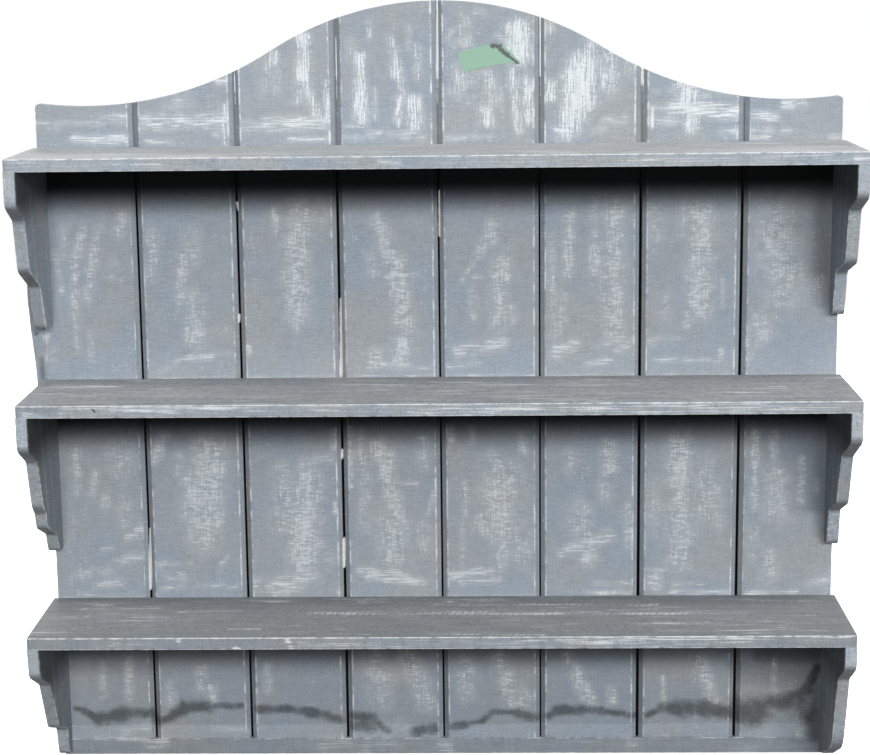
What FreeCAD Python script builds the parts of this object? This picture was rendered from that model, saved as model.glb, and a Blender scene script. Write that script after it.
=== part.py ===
import FreeCAD, Part
import math
import os

"""A painted pine wall shelf: eight matchboards cut to an arch, three shelves, six scrolled brackets.

Bench frame, in millimetres: X runs along the shelves from their middle, Y runs back from the
face of the boards, Z runs up from the underside of the foot rail. The finished pieces are moved
so that the origin is midway between the two hanging holes, on the wall.
"""

# Shelves, and the bare overhang past the boards at each end
shelf_length = 800.0
shelf_depth = 135.0
shelf_thickness = 12.0
shelf_corner_round = 3.0
shelf_overhang = 4.0
shelf_tops = {"top": 632.0, "middle": 399.0, "bottom": 170.0}

# Boards of the back, of one width but for what is trimmed off the end ones
board_count = 8
end_board_trim = 4.0
board_thickness = 12.0
chamfer_width = 5.0
chamfer_depth = 3.5
slot_width = 1.6
slot_width_shares = (1.0, 1.1, 1.3, 0.9, 0.7, 1.5, 1.4)
tongue_setback = 5.7
tongue_thickness = 4.0
tongue_engagement = 5.5
tongue_clearance = 0.15
groove_end_clearance = 1.0

# Arch that the boards are cut to: its troughs over the top shelf, and its crown over them
trough_rise = 40.0
arch_rise = 99.0
trough_inset = 49.0
crown_arc_share = 0.465
shoulder_round = 4.0

# Foot rail
rail_height = 17.0

# Scrolled brackets, each sawn by eye: a side outline of stepped lobes, the corners rounded.
# Sides are -1 for the left and 1 for the right.
bracket_thickness = 12.0
bracket_heights = {
    ("top", -1): 165.0,
    ("top", 1): 159.0,
    ("middle", -1): 163.0,
    ("middle", 1): 161.0,
    ("bottom", -1): 154.0,
    ("bottom", 1): 152.0,
}
lobe_round = 12.0
cove_round = 9.0
toe_round = 9.0
# Each row is a corner: its depth as a share of the shelf's, its drop as a share of the height.
# Lobes and coves take turns, and the last corner is the toe.
lobe_corner_shares = {
    ("top", -1): ((1.0, 0.20), (0.78, 0.295), (0.69, 0.60), (0.37, 0.72), (0.23, 1.0)),
    ("top", 1): ((0.99, 0.195), (0.69, 0.29), (0.585, 0.62), (0.20, 0.715), (0.11, 1.0)),
    ("middle", -1): (
        (1.0, 0.195),
        (0.735, 0.31),
        (0.615, 0.61),
        (0.535, 0.67),
        (0.495, 0.77),
        (0.20, 0.87),
        (0.13, 1.0),
    ),
    ("middle", 1): ((1.0, 0.175), (0.64, 0.325), (0.485, 0.65), (0.16, 0.76), (0.10, 1.0)),
    ("bottom", -1): ((0.97, 0.19), (0.66, 0.33), (0.44, 0.69), (0.15, 0.79), (0.09, 1.0)),
    ("bottom", 1): ((1.0, 0.145), (0.73, 0.29), (0.535, 0.82), (0.13, 1.0)),
}

# Where a bracket's corners are rounder or sharper than the rest, the share of the usual radius of each
corner_round_shares = {("bottom", 1): (1.0, 1.0, 3.0, 1.0)}

# Lath nailed to the left edge of the back, with a waney outer edge
lath_foot_rise = 92.0
lath_width = 16.0
lath_end_round = 6.0
# Each row is a place on the outer edge: its height up the lath and its width, as shares
lath_edge_shares = (
    (0.06, 1.25),
    (0.22, 1.0),
    (0.39, 0.68),
    (0.55, 0.94),
    (0.80, 1.0),
)

# Battens across the back
batten_height = 60.0
batten_thickness = 18.0
batten_end_inset = 16.0
batten_drop = 14.0

# Keyhole hanger plates, let in flush behind the two outer joints of the boards
hanger_width = 16.0
hanger_length = 38.0
hanger_thickness = 1.6
hanger_rise = 36.0
hanger_corner_round = 3.0
keyhole_entry_radius = 5.0
keyhole_slot_width = 4.5
keyhole_slot_length = 9.0
keyhole_pocket_depth = 8.0
keyhole_pocket_margin = 1.0
hanger_fit = 0.2
hanger_screw_inset = 4.5

# Fasteners: shank radius, head radius, head depth and length
shelf_screw = {"shank": 2.0, "head": 3.8, "head_depth": 2.6, "length": 58.0}
board_screw = {"shank": 1.75, "head": 3.3, "head_depth": 2.2, "length": 26.0}
hanger_screw = {"shank": 1.25, "head": 2.4, "head_depth": 1.4, "length": 14.0}
bracket_nail = {"shank": 1.0, "head": 2.0, "head_depth": 1.0, "length": 36.0}
lath_nail = {"shank": 0.8, "head": 1.6, "head_depth": 0.8, "length": 32.0}
fastener_fit = 0.1
shelf_screw_board_shares = (0.0, 0.28, 0.72, 1.0)
board_screw_rise = 46.0
bracket_nail_inset = 8.0
bracket_back_nail_shares = (0.22, 0.58)
bracket_top_nail_share = 0.7
lath_nail_shares = (0.12, 0.50, 0.88)

# How far cutting shapes run past the faces that they cut, and how near counts as the same place
overrun = 2.0
nearness = 0.2

back_width = shelf_length - 2 * shelf_overhang
board_pitch = (back_width + 2 * end_board_trim) / board_count
trough_height = shelf_tops["top"] + trough_rise
trough_reach = back_width / 2 - trough_inset
crown_height = trough_height + arch_rise
lath_foot_height = shelf_tops["bottom"] + lath_foot_rise
lath_top_height = shelf_tops["top"] - shelf_thickness - batten_drop
batten_length = back_width - 2 * batten_end_inset
wall_plane = board_thickness + batten_thickness
hanger_height = shelf_tops["top"] - shelf_thickness - batten_drop + hanger_rise

UP = FreeCAD.Vector(0, 0, 1)
BACK = FreeCAD.Vector(0, 1, 0)
RIGHT = FreeCAD.Vector(1, 0, 0)


def vector(x, y, z):
    """A point or direction."""
    return FreeCAD.Vector(x, y, z)


def block(x0, x1, y0, y1, z0, z1):
    """A box between two limits on each axis."""
    return Part.makeBox(x1 - x0, y1 - y0, z1 - z0, vector(x0, y0, z0))


def polygon_face(points):
    """A flat face bounded by straight lines."""
    return Part.Face(Part.makePolygon(points + [points[0]]))


def round_corner(before, corner, after, radius):
    """The start, middle and end of the arc that rounds a corner."""
    to_before = (before - corner).normalize()
    to_after = (after - corner).normalize()
    half_angle = to_before.getAngle(to_after) / 2
    reach = radius / math.tan(half_angle)
    bisector = (to_before + to_after).normalize()
    centre = corner + bisector * (radius / math.sin(half_angle))
    return corner + to_before * reach, centre - bisector * radius, corner + to_after * reach


def rounded_wire(points, radii):
    """A closed outline whose corners are rounded where their radius is more than zero."""
    edges = []
    stations = []
    for index, corner in enumerate(points):
        radius = radii[index]
        if radius > 0:
            following = points[(index + 1) % len(points)]
            start, middle, end = round_corner(points[index - 1], corner, following, radius)
            edges.append(Part.Arc(start, middle, end).toShape())
            stations.append((start, end))
        else:
            stations.append((corner, corner))
    for index, (start, end) in enumerate(stations):
        following_start = stations[(index + 1) % len(stations)][0]
        edges.append(Part.LineSegment(end, following_start).toShape())
    return Part.Wire(Part.__sortEdges__(edges))


def cut_all(shape, tools):
    """The shape with each of the tools cut from it."""
    return shape.cut(Part.makeCompound(tools)) if tools else shape


def screw(sizes, head_at, direction, fit=0.0):
    """A countersunk screw driven from head_at, or its hole when a fit is given."""
    shank = Part.makeCylinder(sizes["shank"] + fit, sizes["length"] + fit, head_at, direction)
    head_radius = sizes["head"] + fit
    head = Part.makeCone(head_radius, sizes["shank"] + fit, sizes["head_depth"], head_at, direction)
    return shank.fuse(head).removeSplitter()


def nail(sizes, head_at, direction, fit=0.0):
    """A flat-headed nail driven from head_at, or its hole when a fit is given."""
    shank = Part.makeCylinder(sizes["shank"] + fit, sizes["length"] + fit, head_at, direction)
    head = Part.makeCylinder(sizes["head"] + fit, sizes["head_depth"], head_at, direction)
    return shank.fuse(head).removeSplitter()


def seam_positions():
    """The X of each joint between two boards, from the left."""
    first = board_pitch - end_board_trim - back_width / 2
    return [first + index * board_pitch for index in range(board_count - 1)]


def board_limits(index):
    """The left and right shoulders of a board."""
    seams = seam_positions()
    left = -back_width / 2
    right = back_width / 2
    if index > 0:
        left = seams[index - 1] + slot_width * slot_width_shares[index - 1] / 2
    if index < board_count - 1:
        right = seams[index] - slot_width * slot_width_shares[index] / 2
    return left, right


def board_centre(index):
    """The X of the middle of a board."""
    left, right = board_limits(index)
    return (left + right) / 2


def board_section(index):
    """The cross-section of a board: chamfered arrises, a groove at its left, a tongue at its right."""
    left, right = board_limits(index)
    groove_front = tongue_setback - tongue_clearance
    groove_back = tongue_setback + tongue_thickness + tongue_clearance
    groove_bottom = left + tongue_engagement + groove_end_clearance
    points = []
    if index > 0:
        points += [
            (left + chamfer_width, 0),
            (left, chamfer_depth),
            (left, groove_front),
            (groove_bottom, groove_front),
            (groove_bottom, groove_back),
            (left, groove_back),
        ]
    else:
        points += [(left, 0)]
    points += [(left, board_thickness), (right, board_thickness)]
    if index < board_count - 1:
        tongue_tip = right + slot_width * slot_width_shares[index] + tongue_engagement
        tongue_back = tongue_setback + tongue_thickness
        points += [
            (right, tongue_back),
            (tongue_tip, tongue_back),
            (tongue_tip, tongue_setback),
            (right, tongue_setback),
            (right, chamfer_depth),
            (right - chamfer_width, 0),
        ]
    else:
        points += [(right, 0)]
    return polygon_face([vector(x, y, rail_height) for x, y in points])


def arch_blank():
    """The shape that the boards are cut to: a crown arc that runs into a hollow arc each side."""
    drop = crown_height - trough_height
    turn = 2 * math.atan(drop / trough_reach)
    both_radii = trough_reach / math.sin(turn)
    crown_radius = both_radii * crown_arc_share
    flare_radius = both_radii - crown_radius
    crown_centre = crown_height - crown_radius
    flare_centre = trough_height + flare_radius
    half_width = back_width / 2
    end_turn = math.asin((half_width - trough_reach) / flare_radius)

    def crown_point(angle):
        return vector(crown_radius * math.sin(angle), -overrun, crown_centre + crown_radius * math.cos(angle))

    def flare_point(side, angle):
        x = side * (trough_reach + flare_radius * math.sin(angle))
        return vector(x, -overrun, flare_centre - flare_radius * math.cos(angle))

    edges = [Part.Arc(crown_point(-turn), crown_point(0), crown_point(turn)).toShape()]
    for side in (-1, 1):
        middle_turn = (end_turn - turn) / 2
        stations = [flare_point(side, angle) for angle in (-turn, middle_turn, end_turn)]
        edges.append(Part.Arc(*stations).toShape())
    foot_left = vector(-half_width, -overrun, rail_height)
    foot_right = vector(half_width, -overrun, rail_height)
    edges.append(Part.LineSegment(flare_point(-1, end_turn), foot_left).toShape())
    edges.append(Part.LineSegment(foot_left, foot_right).toShape())
    edges.append(Part.LineSegment(foot_right, flare_point(1, end_turn)).toShape())
    outline = Part.Wire(Part.__sortEdges__(edges))
    return Part.Face(outline).extrude(BACK * (board_thickness + 2 * overrun))


def shelf_underside(level):
    """The height of the underside of a shelf."""
    return shelf_tops[level] - shelf_thickness


def batten_foot(level):
    """The height of the underside of a batten."""
    return shelf_underside(level) - batten_drop


def shelf_screw_places(level):
    """Where the screws into a shelf start, on the back of its batten."""
    height = shelf_tops[level] - shelf_thickness / 2
    boards = [round(share * (board_count - 1)) for share in shelf_screw_board_shares]
    return [vector(board_centre(index), wall_plane, height) for index in boards]


def board_screw_places(level):
    """Where the screws that hold each board to a batten start."""
    height = batten_foot(level) + board_screw_rise
    return [vector(board_centre(index), wall_plane, height) for index in range(board_count)]


def bracket_nail_x(side):
    """The X of the nails in the bracket at one end."""
    return side * (shelf_length / 2 - bracket_nail_inset)


def bracket_back_nail_places(level, side):
    """Where the nails through a board into a bracket start, on the back of the board."""
    height = bracket_heights[level, side]
    return [
        vector(bracket_nail_x(side), board_thickness, shelf_underside(level) - share * height)
        for share in bracket_back_nail_shares
    ]


def bracket_top_nail_place(level, side):
    """Where the nail down through a shelf into a bracket starts."""
    return vector(bracket_nail_x(side), -shelf_depth * bracket_top_nail_share, shelf_tops[level])


def rail_nail_places():
    """Where the nails up through the foot rail start, one under each board."""
    return [vector(board_centre(index), board_thickness / 2, 0) for index in range(board_count)]


def lath_outer_x(share):
    """The X of the lath's outer edge where its width is this share of the named one."""
    return -back_width / 2 - lath_width * share


def lath_nail_places():
    """Where the nails through the lath start, on its outer edge."""
    blank = lath_blank()
    length = lath_top_height - lath_foot_height
    places = []
    for share in lath_nail_shares:
        height = lath_foot_height + share * length
        low = height - lath_nail["head"]
        high = height + lath_nail["head"]
        slice_of_lath = blank.common(block(-back_width, 0, 0, board_thickness, low, high))
        places.append(vector(slice_of_lath.BoundBox.XMin, board_thickness / 2, height))
    return places


def hanger_places():
    """The middle of the entry hole of each hanger plate, on the wall plane."""
    seams = seam_positions()
    return [vector(x, wall_plane, hanger_height) for x in (seams[0], seams[-1])]


def levels_and_sides():
    """Each shelf level with each end."""
    return [(level, side) for level in shelf_tops for side in (-1, 1)]


def board_holes():
    """Every screw and nail hole that the boards may have."""
    holes = []
    for level in shelf_tops:
        holes += [screw(shelf_screw, place, -BACK, fastener_fit) for place in shelf_screw_places(level)]
        holes += [screw(board_screw, place, -BACK, fastener_fit) for place in board_screw_places(level)]
    for level, side in levels_and_sides():
        for place in bracket_back_nail_places(level, side):
            holes.append(nail(bracket_nail, place, -BACK, fastener_fit))
    holes += [nail(bracket_nail, place, UP, fastener_fit) for place in rail_nail_places()]
    holes += lath_nails(fastener_fit)
    return holes


def lath_nails(fit=0.0):
    """The nails through the lath into the edge of the first board, or their holes."""
    return [nail(lath_nail, place, RIGHT, fit) for place in lath_nail_places()]


def lath_blank():
    """The lath before it is drilled: straight against the board, waney outside."""
    inner = -back_width / 2
    length = lath_top_height - lath_foot_height
    foot_width = lath_width * lath_edge_shares[0][1]
    foot_start = vector(inner, 0, lath_foot_height)
    top_end = vector(inner, 0, lath_top_height)
    top_start = vector(lath_outer_x(lath_edge_shares[-1][1]), 0, lath_top_height)
    places = [
        vector(lath_outer_x(width), 0, lath_foot_height + rise * length)
        for rise, width in lath_edge_shares
    ]
    foot_corner = vector(inner - foot_width + lath_end_round, 0, lath_foot_height)
    edge = Part.BSplineCurve()
    edge.interpolate(places + [top_start])
    quarter = math.pi / 4
    round_middle = vector(
        inner - foot_width + lath_end_round * (1 - math.sin(quarter)),
        0,
        lath_foot_height + (places[0].z - lath_foot_height) * (1 - math.cos(quarter)),
    )
    outline = Part.Wire(
        Part.__sortEdges__(
            [
                Part.LineSegment(foot_start, foot_corner).toShape(),
                Part.Arc(foot_corner, round_middle, places[0]).toShape(),
                edge.toShape(),
                Part.LineSegment(top_start, top_end).toShape(),
                Part.LineSegment(top_end, foot_start).toShape(),
            ]
        )
    )
    return Part.Face(outline).extrude(BACK * board_thickness)


def edge_lath():
    """The waney lath, drilled for its nails."""
    return cut_all(lath_blank(), lath_nails(fastener_fit))


def back_boards():
    """The eight boards of the back, from the left, cut to the arch and drilled."""
    blank = arch_blank()
    holes = board_holes()
    boards = []
    for index in range(board_count):
        board = board_section(index).extrude(UP * (crown_height - rail_height)).common(blank)
        if index in (0, board_count - 1):
            board = round_shoulder(board, -1 if index == 0 else 1)
        reach = board.BoundBox
        near = [hole for hole in holes if hole.BoundBox.intersect(reach)]
        boards.append(cut_all(board, near))
    return boards


def round_shoulder(board, side):
    """An end board with its outer top corner rounded."""
    edge_x = side * back_width / 2
    corners = [
        edge
        for edge in board.Edges
        if edge.BoundBox.XLength < nearness
        and edge.BoundBox.ZLength < nearness
        and abs(edge.CenterOfMass.x - edge_x) < nearness
        and edge.CenterOfMass.z > trough_height
    ]
    return board.makeFillet(shoulder_round, corners)


def foot_rail():
    """The rail that caps the lower ends of the boards."""
    rail = block(-back_width / 2, back_width / 2, 0, board_thickness, 0, rail_height)
    holes = [nail(bracket_nail, place, UP, fastener_fit) for place in rail_nail_places()]
    return cut_all(rail, holes)


def shelf(level):
    """One shelf with its front corners rounded, drilled for its screws and nails."""
    half = shelf_length / 2
    foot = shelf_underside(level)
    corners = [
        vector(-half, 0, foot),
        vector(-half, -shelf_depth, foot),
        vector(half, -shelf_depth, foot),
        vector(half, 0, foot),
    ]
    outline = rounded_wire(corners, (0, shelf_corner_round, shelf_corner_round, 0))
    plank = Part.Face(outline).extrude(UP * shelf_thickness)
    holes = [screw(shelf_screw, place, -BACK, fastener_fit) for place in shelf_screw_places(level)]
    for side in (-1, 1):
        place = bracket_top_nail_place(level, side)
        holes.append(nail(bracket_nail, place, -UP, fastener_fit))
    return cut_all(plank, holes)


def bracket(level, side):
    """One scrolled bracket: lobes that step in towards the wall as they go down."""
    start = side * shelf_length / 2 - (bracket_thickness if side > 0 else 0)
    top = shelf_underside(level)
    height = bracket_heights[level, side]
    corners = lobe_corner_shares[level, side]
    round_shares = corner_round_shares.get((level, side), (1.0,) * len(corners))
    points = [vector(start, 0, top), vector(start, -shelf_depth, top)]
    radii = [0, 0]
    for index, (depth_share, drop_share) in enumerate(corners):
        points.append(vector(start, -shelf_depth * depth_share, top - height * drop_share))
        radii.append((cove_round if index % 2 else lobe_round) * round_shares[index])
    points.append(vector(start, 0, top - height))
    radii[-1] = toe_round * round_shares[-1]
    radii.append(0)
    body = Part.Face(rounded_wire(points, radii)).extrude(RIGHT * bracket_thickness)
    holes = [
        nail(bracket_nail, place, -BACK, fastener_fit)
        for place in bracket_back_nail_places(level, side)
    ]
    place = bracket_top_nail_place(level, side)
    holes.append(nail(bracket_nail, place, -UP, fastener_fit))
    return cut_all(body, holes)


def keyhole(place, depth, margin=0.0):
    """The keyhole shape cut into a plate or a batten from the wall plane."""
    forward = -BACK
    entry = Part.makeCylinder(keyhole_entry_radius + margin, depth, place, forward)
    slot_half = keyhole_slot_width / 2 + margin
    slot_top = place + UP * keyhole_slot_length
    slot_end = Part.makeCylinder(slot_half, depth, slot_top, forward)
    slot = block(
        place.x - slot_half, place.x + slot_half, place.y - depth, place.y, place.z, slot_top.z
    )
    return entry.fuse([slot_end, slot]).removeSplitter()


def hanger_centre(place):
    """The middle of a hanger plate, above its entry hole."""
    return place + UP * (keyhole_slot_length / 2)


def hanger_outline(place, margin, depth):
    """The rounded outline of a hanger plate as a solid that runs in from the wall plane."""
    centre = hanger_centre(place)
    half_width = hanger_width / 2 + margin
    half_length = hanger_length / 2 + margin
    corners = [
        vector(centre.x + side * half_width, wall_plane, centre.z + rise * half_length)
        for side, rise in ((-1, -1), (1, -1), (1, 1), (-1, 1))
    ]
    outline = rounded_wire(corners, [hanger_corner_round + margin] * len(corners))
    return Part.Face(outline).extrude(-BACK * depth)


def hanger_screw_places(place):
    """Where the two screws of a hanger plate start."""
    centre = hanger_centre(place)
    reach = hanger_length / 2 - hanger_screw_inset
    return [centre + UP * (rise * reach) for rise in (-1, 1)]


def hanger_plate(place):
    """A keyhole hanger plate."""
    plate = hanger_outline(place, 0, hanger_thickness)
    holes = [screw(hanger_screw, spot, -BACK, fastener_fit) for spot in hanger_screw_places(place)]
    return cut_all(plate, holes + [keyhole(place, hanger_thickness + overrun)])


def batten(level):
    """One batten, drilled, and let in for the hanger plates where it is the top one."""
    half = batten_length / 2
    foot = batten_foot(level)
    bar = block(-half, half, board_thickness, wall_plane, foot, foot + batten_height)
    holes = [screw(shelf_screw, place, -BACK, fastener_fit) for place in shelf_screw_places(level)]
    holes += [screw(board_screw, place, -BACK, fastener_fit) for place in board_screw_places(level)]
    if level == "top":
        for place in hanger_places():
            holes.append(hanger_outline(place, hanger_fit, hanger_thickness))
            holes.append(keyhole(place, keyhole_pocket_depth, keyhole_pocket_margin))
            holes += [screw(hanger_screw, spot, -BACK, fastener_fit) for spot in hanger_screw_places(place)]
    return cut_all(bar, holes)


def shelf_screws():
    """The screws through the battens and boards into the shelves."""
    return [screw(shelf_screw, place, -BACK) for level in shelf_tops for place in shelf_screw_places(level)]


def board_screws():
    """The screws that hold the boards to the battens."""
    return [screw(board_screw, place, -BACK) for level in shelf_tops for place in board_screw_places(level)]


def bracket_back_nails():
    """The nails through the end boards into the brackets."""
    return [
        nail(bracket_nail, place, -BACK)
        for level, side in levels_and_sides()
        for place in bracket_back_nail_places(level, side)
    ]


def bracket_top_nails():
    """The nails down through the shelves into the brackets."""
    return [
        nail(bracket_nail, bracket_top_nail_place(level, side), -UP)
        for level, side in levels_and_sides()
    ]


def rail_nails():
    """The nails up through the foot rail into the boards."""
    return [nail(bracket_nail, place, UP) for place in rail_nail_places()]


def hanger_screws():
    """The screws of both hanger plates."""
    return [
        screw(hanger_screw, spot, -BACK)
        for place in hanger_places()
        for spot in hanger_screw_places(place)
    ]


def all_nodes():
    """Every piece under its node's name; like fasteners share one node."""
    nodes = {}
    for index, board in enumerate(back_boards()):
        nodes[f"back_board_{index + 1}"] = board
    nodes["foot_rail"] = foot_rail()
    nodes["edge_lath"] = edge_lath()
    for level in shelf_tops:
        nodes[f"{level}_shelf"] = shelf(level)
        nodes[f"{level}_batten"] = batten(level)
        for side, word in ((-1, "left"), (1, "right")):
            nodes[f"{level}_bracket_{word}"] = bracket(level, side)
    for place, word in zip(hanger_places(), ("left", "right")):
        nodes[f"hanger_plate_{word}"] = hanger_plate(place)
    groups = {
        "shelf_screws": shelf_screws(),
        "board_screws": board_screws(),
        "bracket_back_nails": bracket_back_nails(),
        "bracket_top_nails": bracket_top_nails(),
        "rail_nails": rail_nails(),
        "lath_nails": lath_nails(),
        "hanger_screws": hanger_screws(),
    }
    for name, solids in groups.items():
        nodes[name] = Part.makeCompound(solids)
    return nodes


os.makedirs("parts", exist_ok=True)
to_wall = vector(0, -wall_plane, -hanger_height)
for node_name, shape in all_nodes().items():
    shape.translate(to_wall)
    shape.exportStep(f"parts/{node_name}.step")
    print(node_name, "solids", len(shape.Solids), "valid", shape.isValid(), "volume", round(shape.Volume))
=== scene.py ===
"""The looks of a painted wall shelf: chalk paint, dry-brushed white, over a matchboard back.

Lengths are in millimetres and are turned to metres where they meet Blender. Brush marks are placed
by pixels of the photograph, 870 by 755, cast from its camera onto the face that carries them.
"""

import logging
import math
from abc import ABC, abstractmethod
from dataclasses import dataclass, field, replace
from enum import Enum, IntEnum
from functools import partial

import bmesh
import bpy
import numpy as np
from mathutils import Matrix, Vector


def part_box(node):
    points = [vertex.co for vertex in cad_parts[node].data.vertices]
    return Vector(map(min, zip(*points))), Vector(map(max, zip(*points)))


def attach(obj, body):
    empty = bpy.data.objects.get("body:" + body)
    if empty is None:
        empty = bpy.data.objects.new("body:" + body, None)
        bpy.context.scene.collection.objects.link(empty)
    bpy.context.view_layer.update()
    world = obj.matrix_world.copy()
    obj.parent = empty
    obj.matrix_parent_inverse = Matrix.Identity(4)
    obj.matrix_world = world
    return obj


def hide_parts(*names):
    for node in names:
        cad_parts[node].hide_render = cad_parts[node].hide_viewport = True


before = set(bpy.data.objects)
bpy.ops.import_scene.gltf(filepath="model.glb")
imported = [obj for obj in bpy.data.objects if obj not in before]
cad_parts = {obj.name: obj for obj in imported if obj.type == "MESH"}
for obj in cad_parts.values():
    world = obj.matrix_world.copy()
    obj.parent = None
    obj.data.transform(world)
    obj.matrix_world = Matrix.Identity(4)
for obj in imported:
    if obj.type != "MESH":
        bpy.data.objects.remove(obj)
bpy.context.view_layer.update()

MM = 0.001
IMAGE_WIDTH = 870
IMAGE_HEIGHT = 755
SENSOR_WIDTH = 36.0

# In millimetres: how near a plane a vertex counts as on it, how near each other vertices are merged,
# and how near a cut a vertex is taken into it.
ON_PLANE = 0.1
MERGE_WITHIN = 0.002
CUT_WITHIN = 0.01

# How much of a face's normal lies along an axis where the face is square to it, nearly square to it,
# half turned to it, or turned to it a little.
SQUARE = 0.99
NEARLY_SQUARE = 0.9
HALF_TURNED = 0.5
LITTLE_TURNED = 0.3

# The least squared length, in square millimetres, that anything is divided by.
LEAST_SQUARE = 1e-6

LOG = logging.getLogger("wall_shelf")

# What feeds a node's input: a node, of which the first output is taken, or a node and an output's name.
Source = bpy.types.Node | tuple[bpy.types.Node, str]

# One brush pull: start px, start py, end px, end py, half width in mm, load.
Row = tuple[float, float, float, float, float, float]


class Mark(Enum):
    """What a listed mark leaves on the paint. The value is its mesh attribute."""

    STREAK = "brush_streak"
    UP = "brush_up"
    ACROSS = "brush_across"
    ARRIS = "worn_arris"
    DAMP = "damp"
    # Grime, and painted shade under the shelves, on chamfers, on undersides and on the brackets.
    GRIME = "grime"
    # Painted shadow under each shelf, near black.
    SOOT = "soot"
    # Painted shade, black, deep in the joints between the boards, and dark chips.
    CREVICE = "crevice"
    GAP_LIGHT = "gap_light"


class Level(Enum):
    """One of the three shelves. The value is its word in the pieces' names."""

    TOP = "top"
    MIDDLE = "middle"
    BOTTOM = "bottom"


class Side(IntEnum):
    """A side of the shelf, seen from the front. The value is the way of X."""

    LEFT = -1
    RIGHT = 1


class Facing(IntEnum):
    """How a plane with marks faces. The value is the axis that it is square to."""

    FRONT = 1
    TOP = 2


class Lengthways(Enum):
    """Which way a timber's grain runs. The value is its axis."""

    ALONG = "x"
    UP = "z"


class Grain(Enum):
    """A pattern in the paint or in the wood under it."""

    UPRIGHT = "bristle_marks_upright"
    LEVEL = "bristle_marks_level"
    SAW = "saw_marks"
    GRIT = "grit"
    SPECKLE = "speckle"
    CLOUD = "cloud"


def linear(hex_colour: str) -> tuple[float, float, float, float]:
    """Turn an sRGB hex colour into linear light.

    Args:
        hex_colour: Six hex digits after a hash.

    Returns:
        Red, green, blue and an alpha of one.
    """
    parts = [int(hex_colour[at : at + 2], 16) / 255 for at in (1, 3, 5)]
    curved = [part / 12.92 if part <= 0.04045 else ((part + 0.055) / 1.055) ** 2.4 for part in parts]
    return (*curved, 1.0)


def add(
    tree: bpy.types.NodeTree, kind: str, inputs: dict[int | str, object] | None = None, **settings: object
) -> bpy.types.Node:
    """Add a node with its settings and links.

    Args:
        tree: The node tree that gets the node.
        kind: The node's type name.
        inputs: Input names or numbers, each with a value, a node (its first output is linked) or
            a node and the name of its output.
        settings: Properties of the node.

    Returns:
        The new node.
    """
    node = tree.nodes.new(kind)
    for name, value in settings.items():
        setattr(node, name, value)
    for key, value in (inputs or {}).items():
        if isinstance(value, bpy.types.Node):
            tree.links.new(value.outputs[0], node.inputs[key])
        elif isinstance(value, tuple) and isinstance(value[0], bpy.types.Node):
            tree.links.new(value[0].outputs[value[1]], node.inputs[key])
        else:
            node.inputs[key].default_value = value
    return node


def calculate(
    tree: bpy.types.NodeTree, operation: str, *values: Source | float, clamp: bool = False
) -> bpy.types.Node:
    """Add a calculation.

    Args:
        tree: The node tree that gets the node.
        operation: What the node does.
        values: What goes in, in the node's own order.
        clamp: Whether the result is held between zero and one.

    Returns:
        The new node.
    """
    return add(tree, "ShaderNodeMath", dict(enumerate(values)), operation=operation, use_clamp=clamp)


def ramp(
    tree: bpy.types.NodeTree,
    value: Source,
    span: tuple[float, float] = (0.0, 1.0),
    result: tuple[float, float] = (0.0, 1.0),
    **settings: object,
) -> bpy.types.Node:
    """Turn a span of values into another, held at its ends.

    Args:
        tree: The node tree that gets the node.
        value: What goes in.
        span: The two values that give the ends of the result.
        result: What comes out at those ends.
        settings: Properties of the node.

    Returns:
        The new node.
    """
    return add(tree, "ShaderNodeMapRange", dict(enumerate((value, *span, *result))), **settings)


def overlaid(
    tree: bpy.types.NodeTree, cover: Source, under: Source | str, over: str, blend: str = "MIX"
) -> Source:
    """Lay one colour over another.

    Args:
        tree: The node tree that gets the node.
        cover: How much the upper one covers.
        under: The lower colour, a node's or in hex.
        over: The upper colour, in hex.
        blend: How the two mix.

    Returns:
        The mixed colour.
    """
    lower = linear(under) if isinstance(under, str) else under
    inputs = {"Factor": cover, "A": lower, "B": linear(over)}
    return add(tree, "ShaderNodeMix", inputs, data_type="RGBA", blend_type=blend), "Result"


def read_load(tree: bpy.types.NodeTree, mark: Mark) -> Source:
    """Read a mark's load from the mesh.

    Args:
        tree: The material's node tree.
        mark: The kind of mark.

    Returns:
        The load.
    """
    return add(tree, "ShaderNodeAttribute", attribute_name=mark.value), "Fac"


def new_material(name: str) -> tuple[bpy.types.Material, bpy.types.NodeTree]:
    """Start an empty material.

    Args:
        name: The real finish's name.

    Returns:
        The material and its node tree.
    """
    material = bpy.data.materials.new(name)
    material.use_nodes = True
    material.node_tree.nodes.clear()
    return material, material.node_tree


def real_size_noise(
    tree: bpy.types.NodeTree, sizes: tuple[float, float, float], detail: float, wander: float = 0.0
) -> Source:
    """A noise that lies fixed on the piece at a real size.

    Args:
        tree: The material's node tree.
        sizes: The pattern's size along X, Y and Z, in millimetres.
        detail: How many finer layers it has.
        wander: How much its lines waver.

    Returns:
        The noise's output.
    """
    place = add(tree, "ShaderNodeTexCoord")
    scale = tuple(1 / (size * MM) for size in sizes)
    mapped = add(tree, "ShaderNodeMapping", {"Vector": (place, "Object"), "Scale": scale})
    inputs = {"Vector": mapped, "Scale": 1.0, "Detail": detail, "Distortion": wander}
    return add(tree, "ShaderNodeTexNoise", inputs), "Fac"


def finish_matt(
    tree: bpy.types.NodeTree,
    colour: Source,
    roughness: float,
    relief: tuple[Source, float, float],
    gloss: float = 0.5,
) -> None:
    """Give a surface its colour, its matt gloss and a fine relief.

    Args:
        tree: The material's node tree.
        colour: The surface's colour.
        roughness: Its roughness.
        relief: The relief's pattern, its strength and its height in millimetres.
        gloss: Its specular level.
    """
    height, strength, distance = relief
    inputs = {"Height": height, "Strength": strength, "Distance": distance * MM}
    bump = add(tree, "ShaderNodeBump", inputs)
    inputs = {"Base Color": colour, "Roughness": roughness, "Specular IOR Level": gloss, "Normal": bump}
    shader = add(tree, "ShaderNodeBsdfPrincipled", inputs)
    add(tree, "ShaderNodeOutputMaterial", {"Surface": shader})


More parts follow.
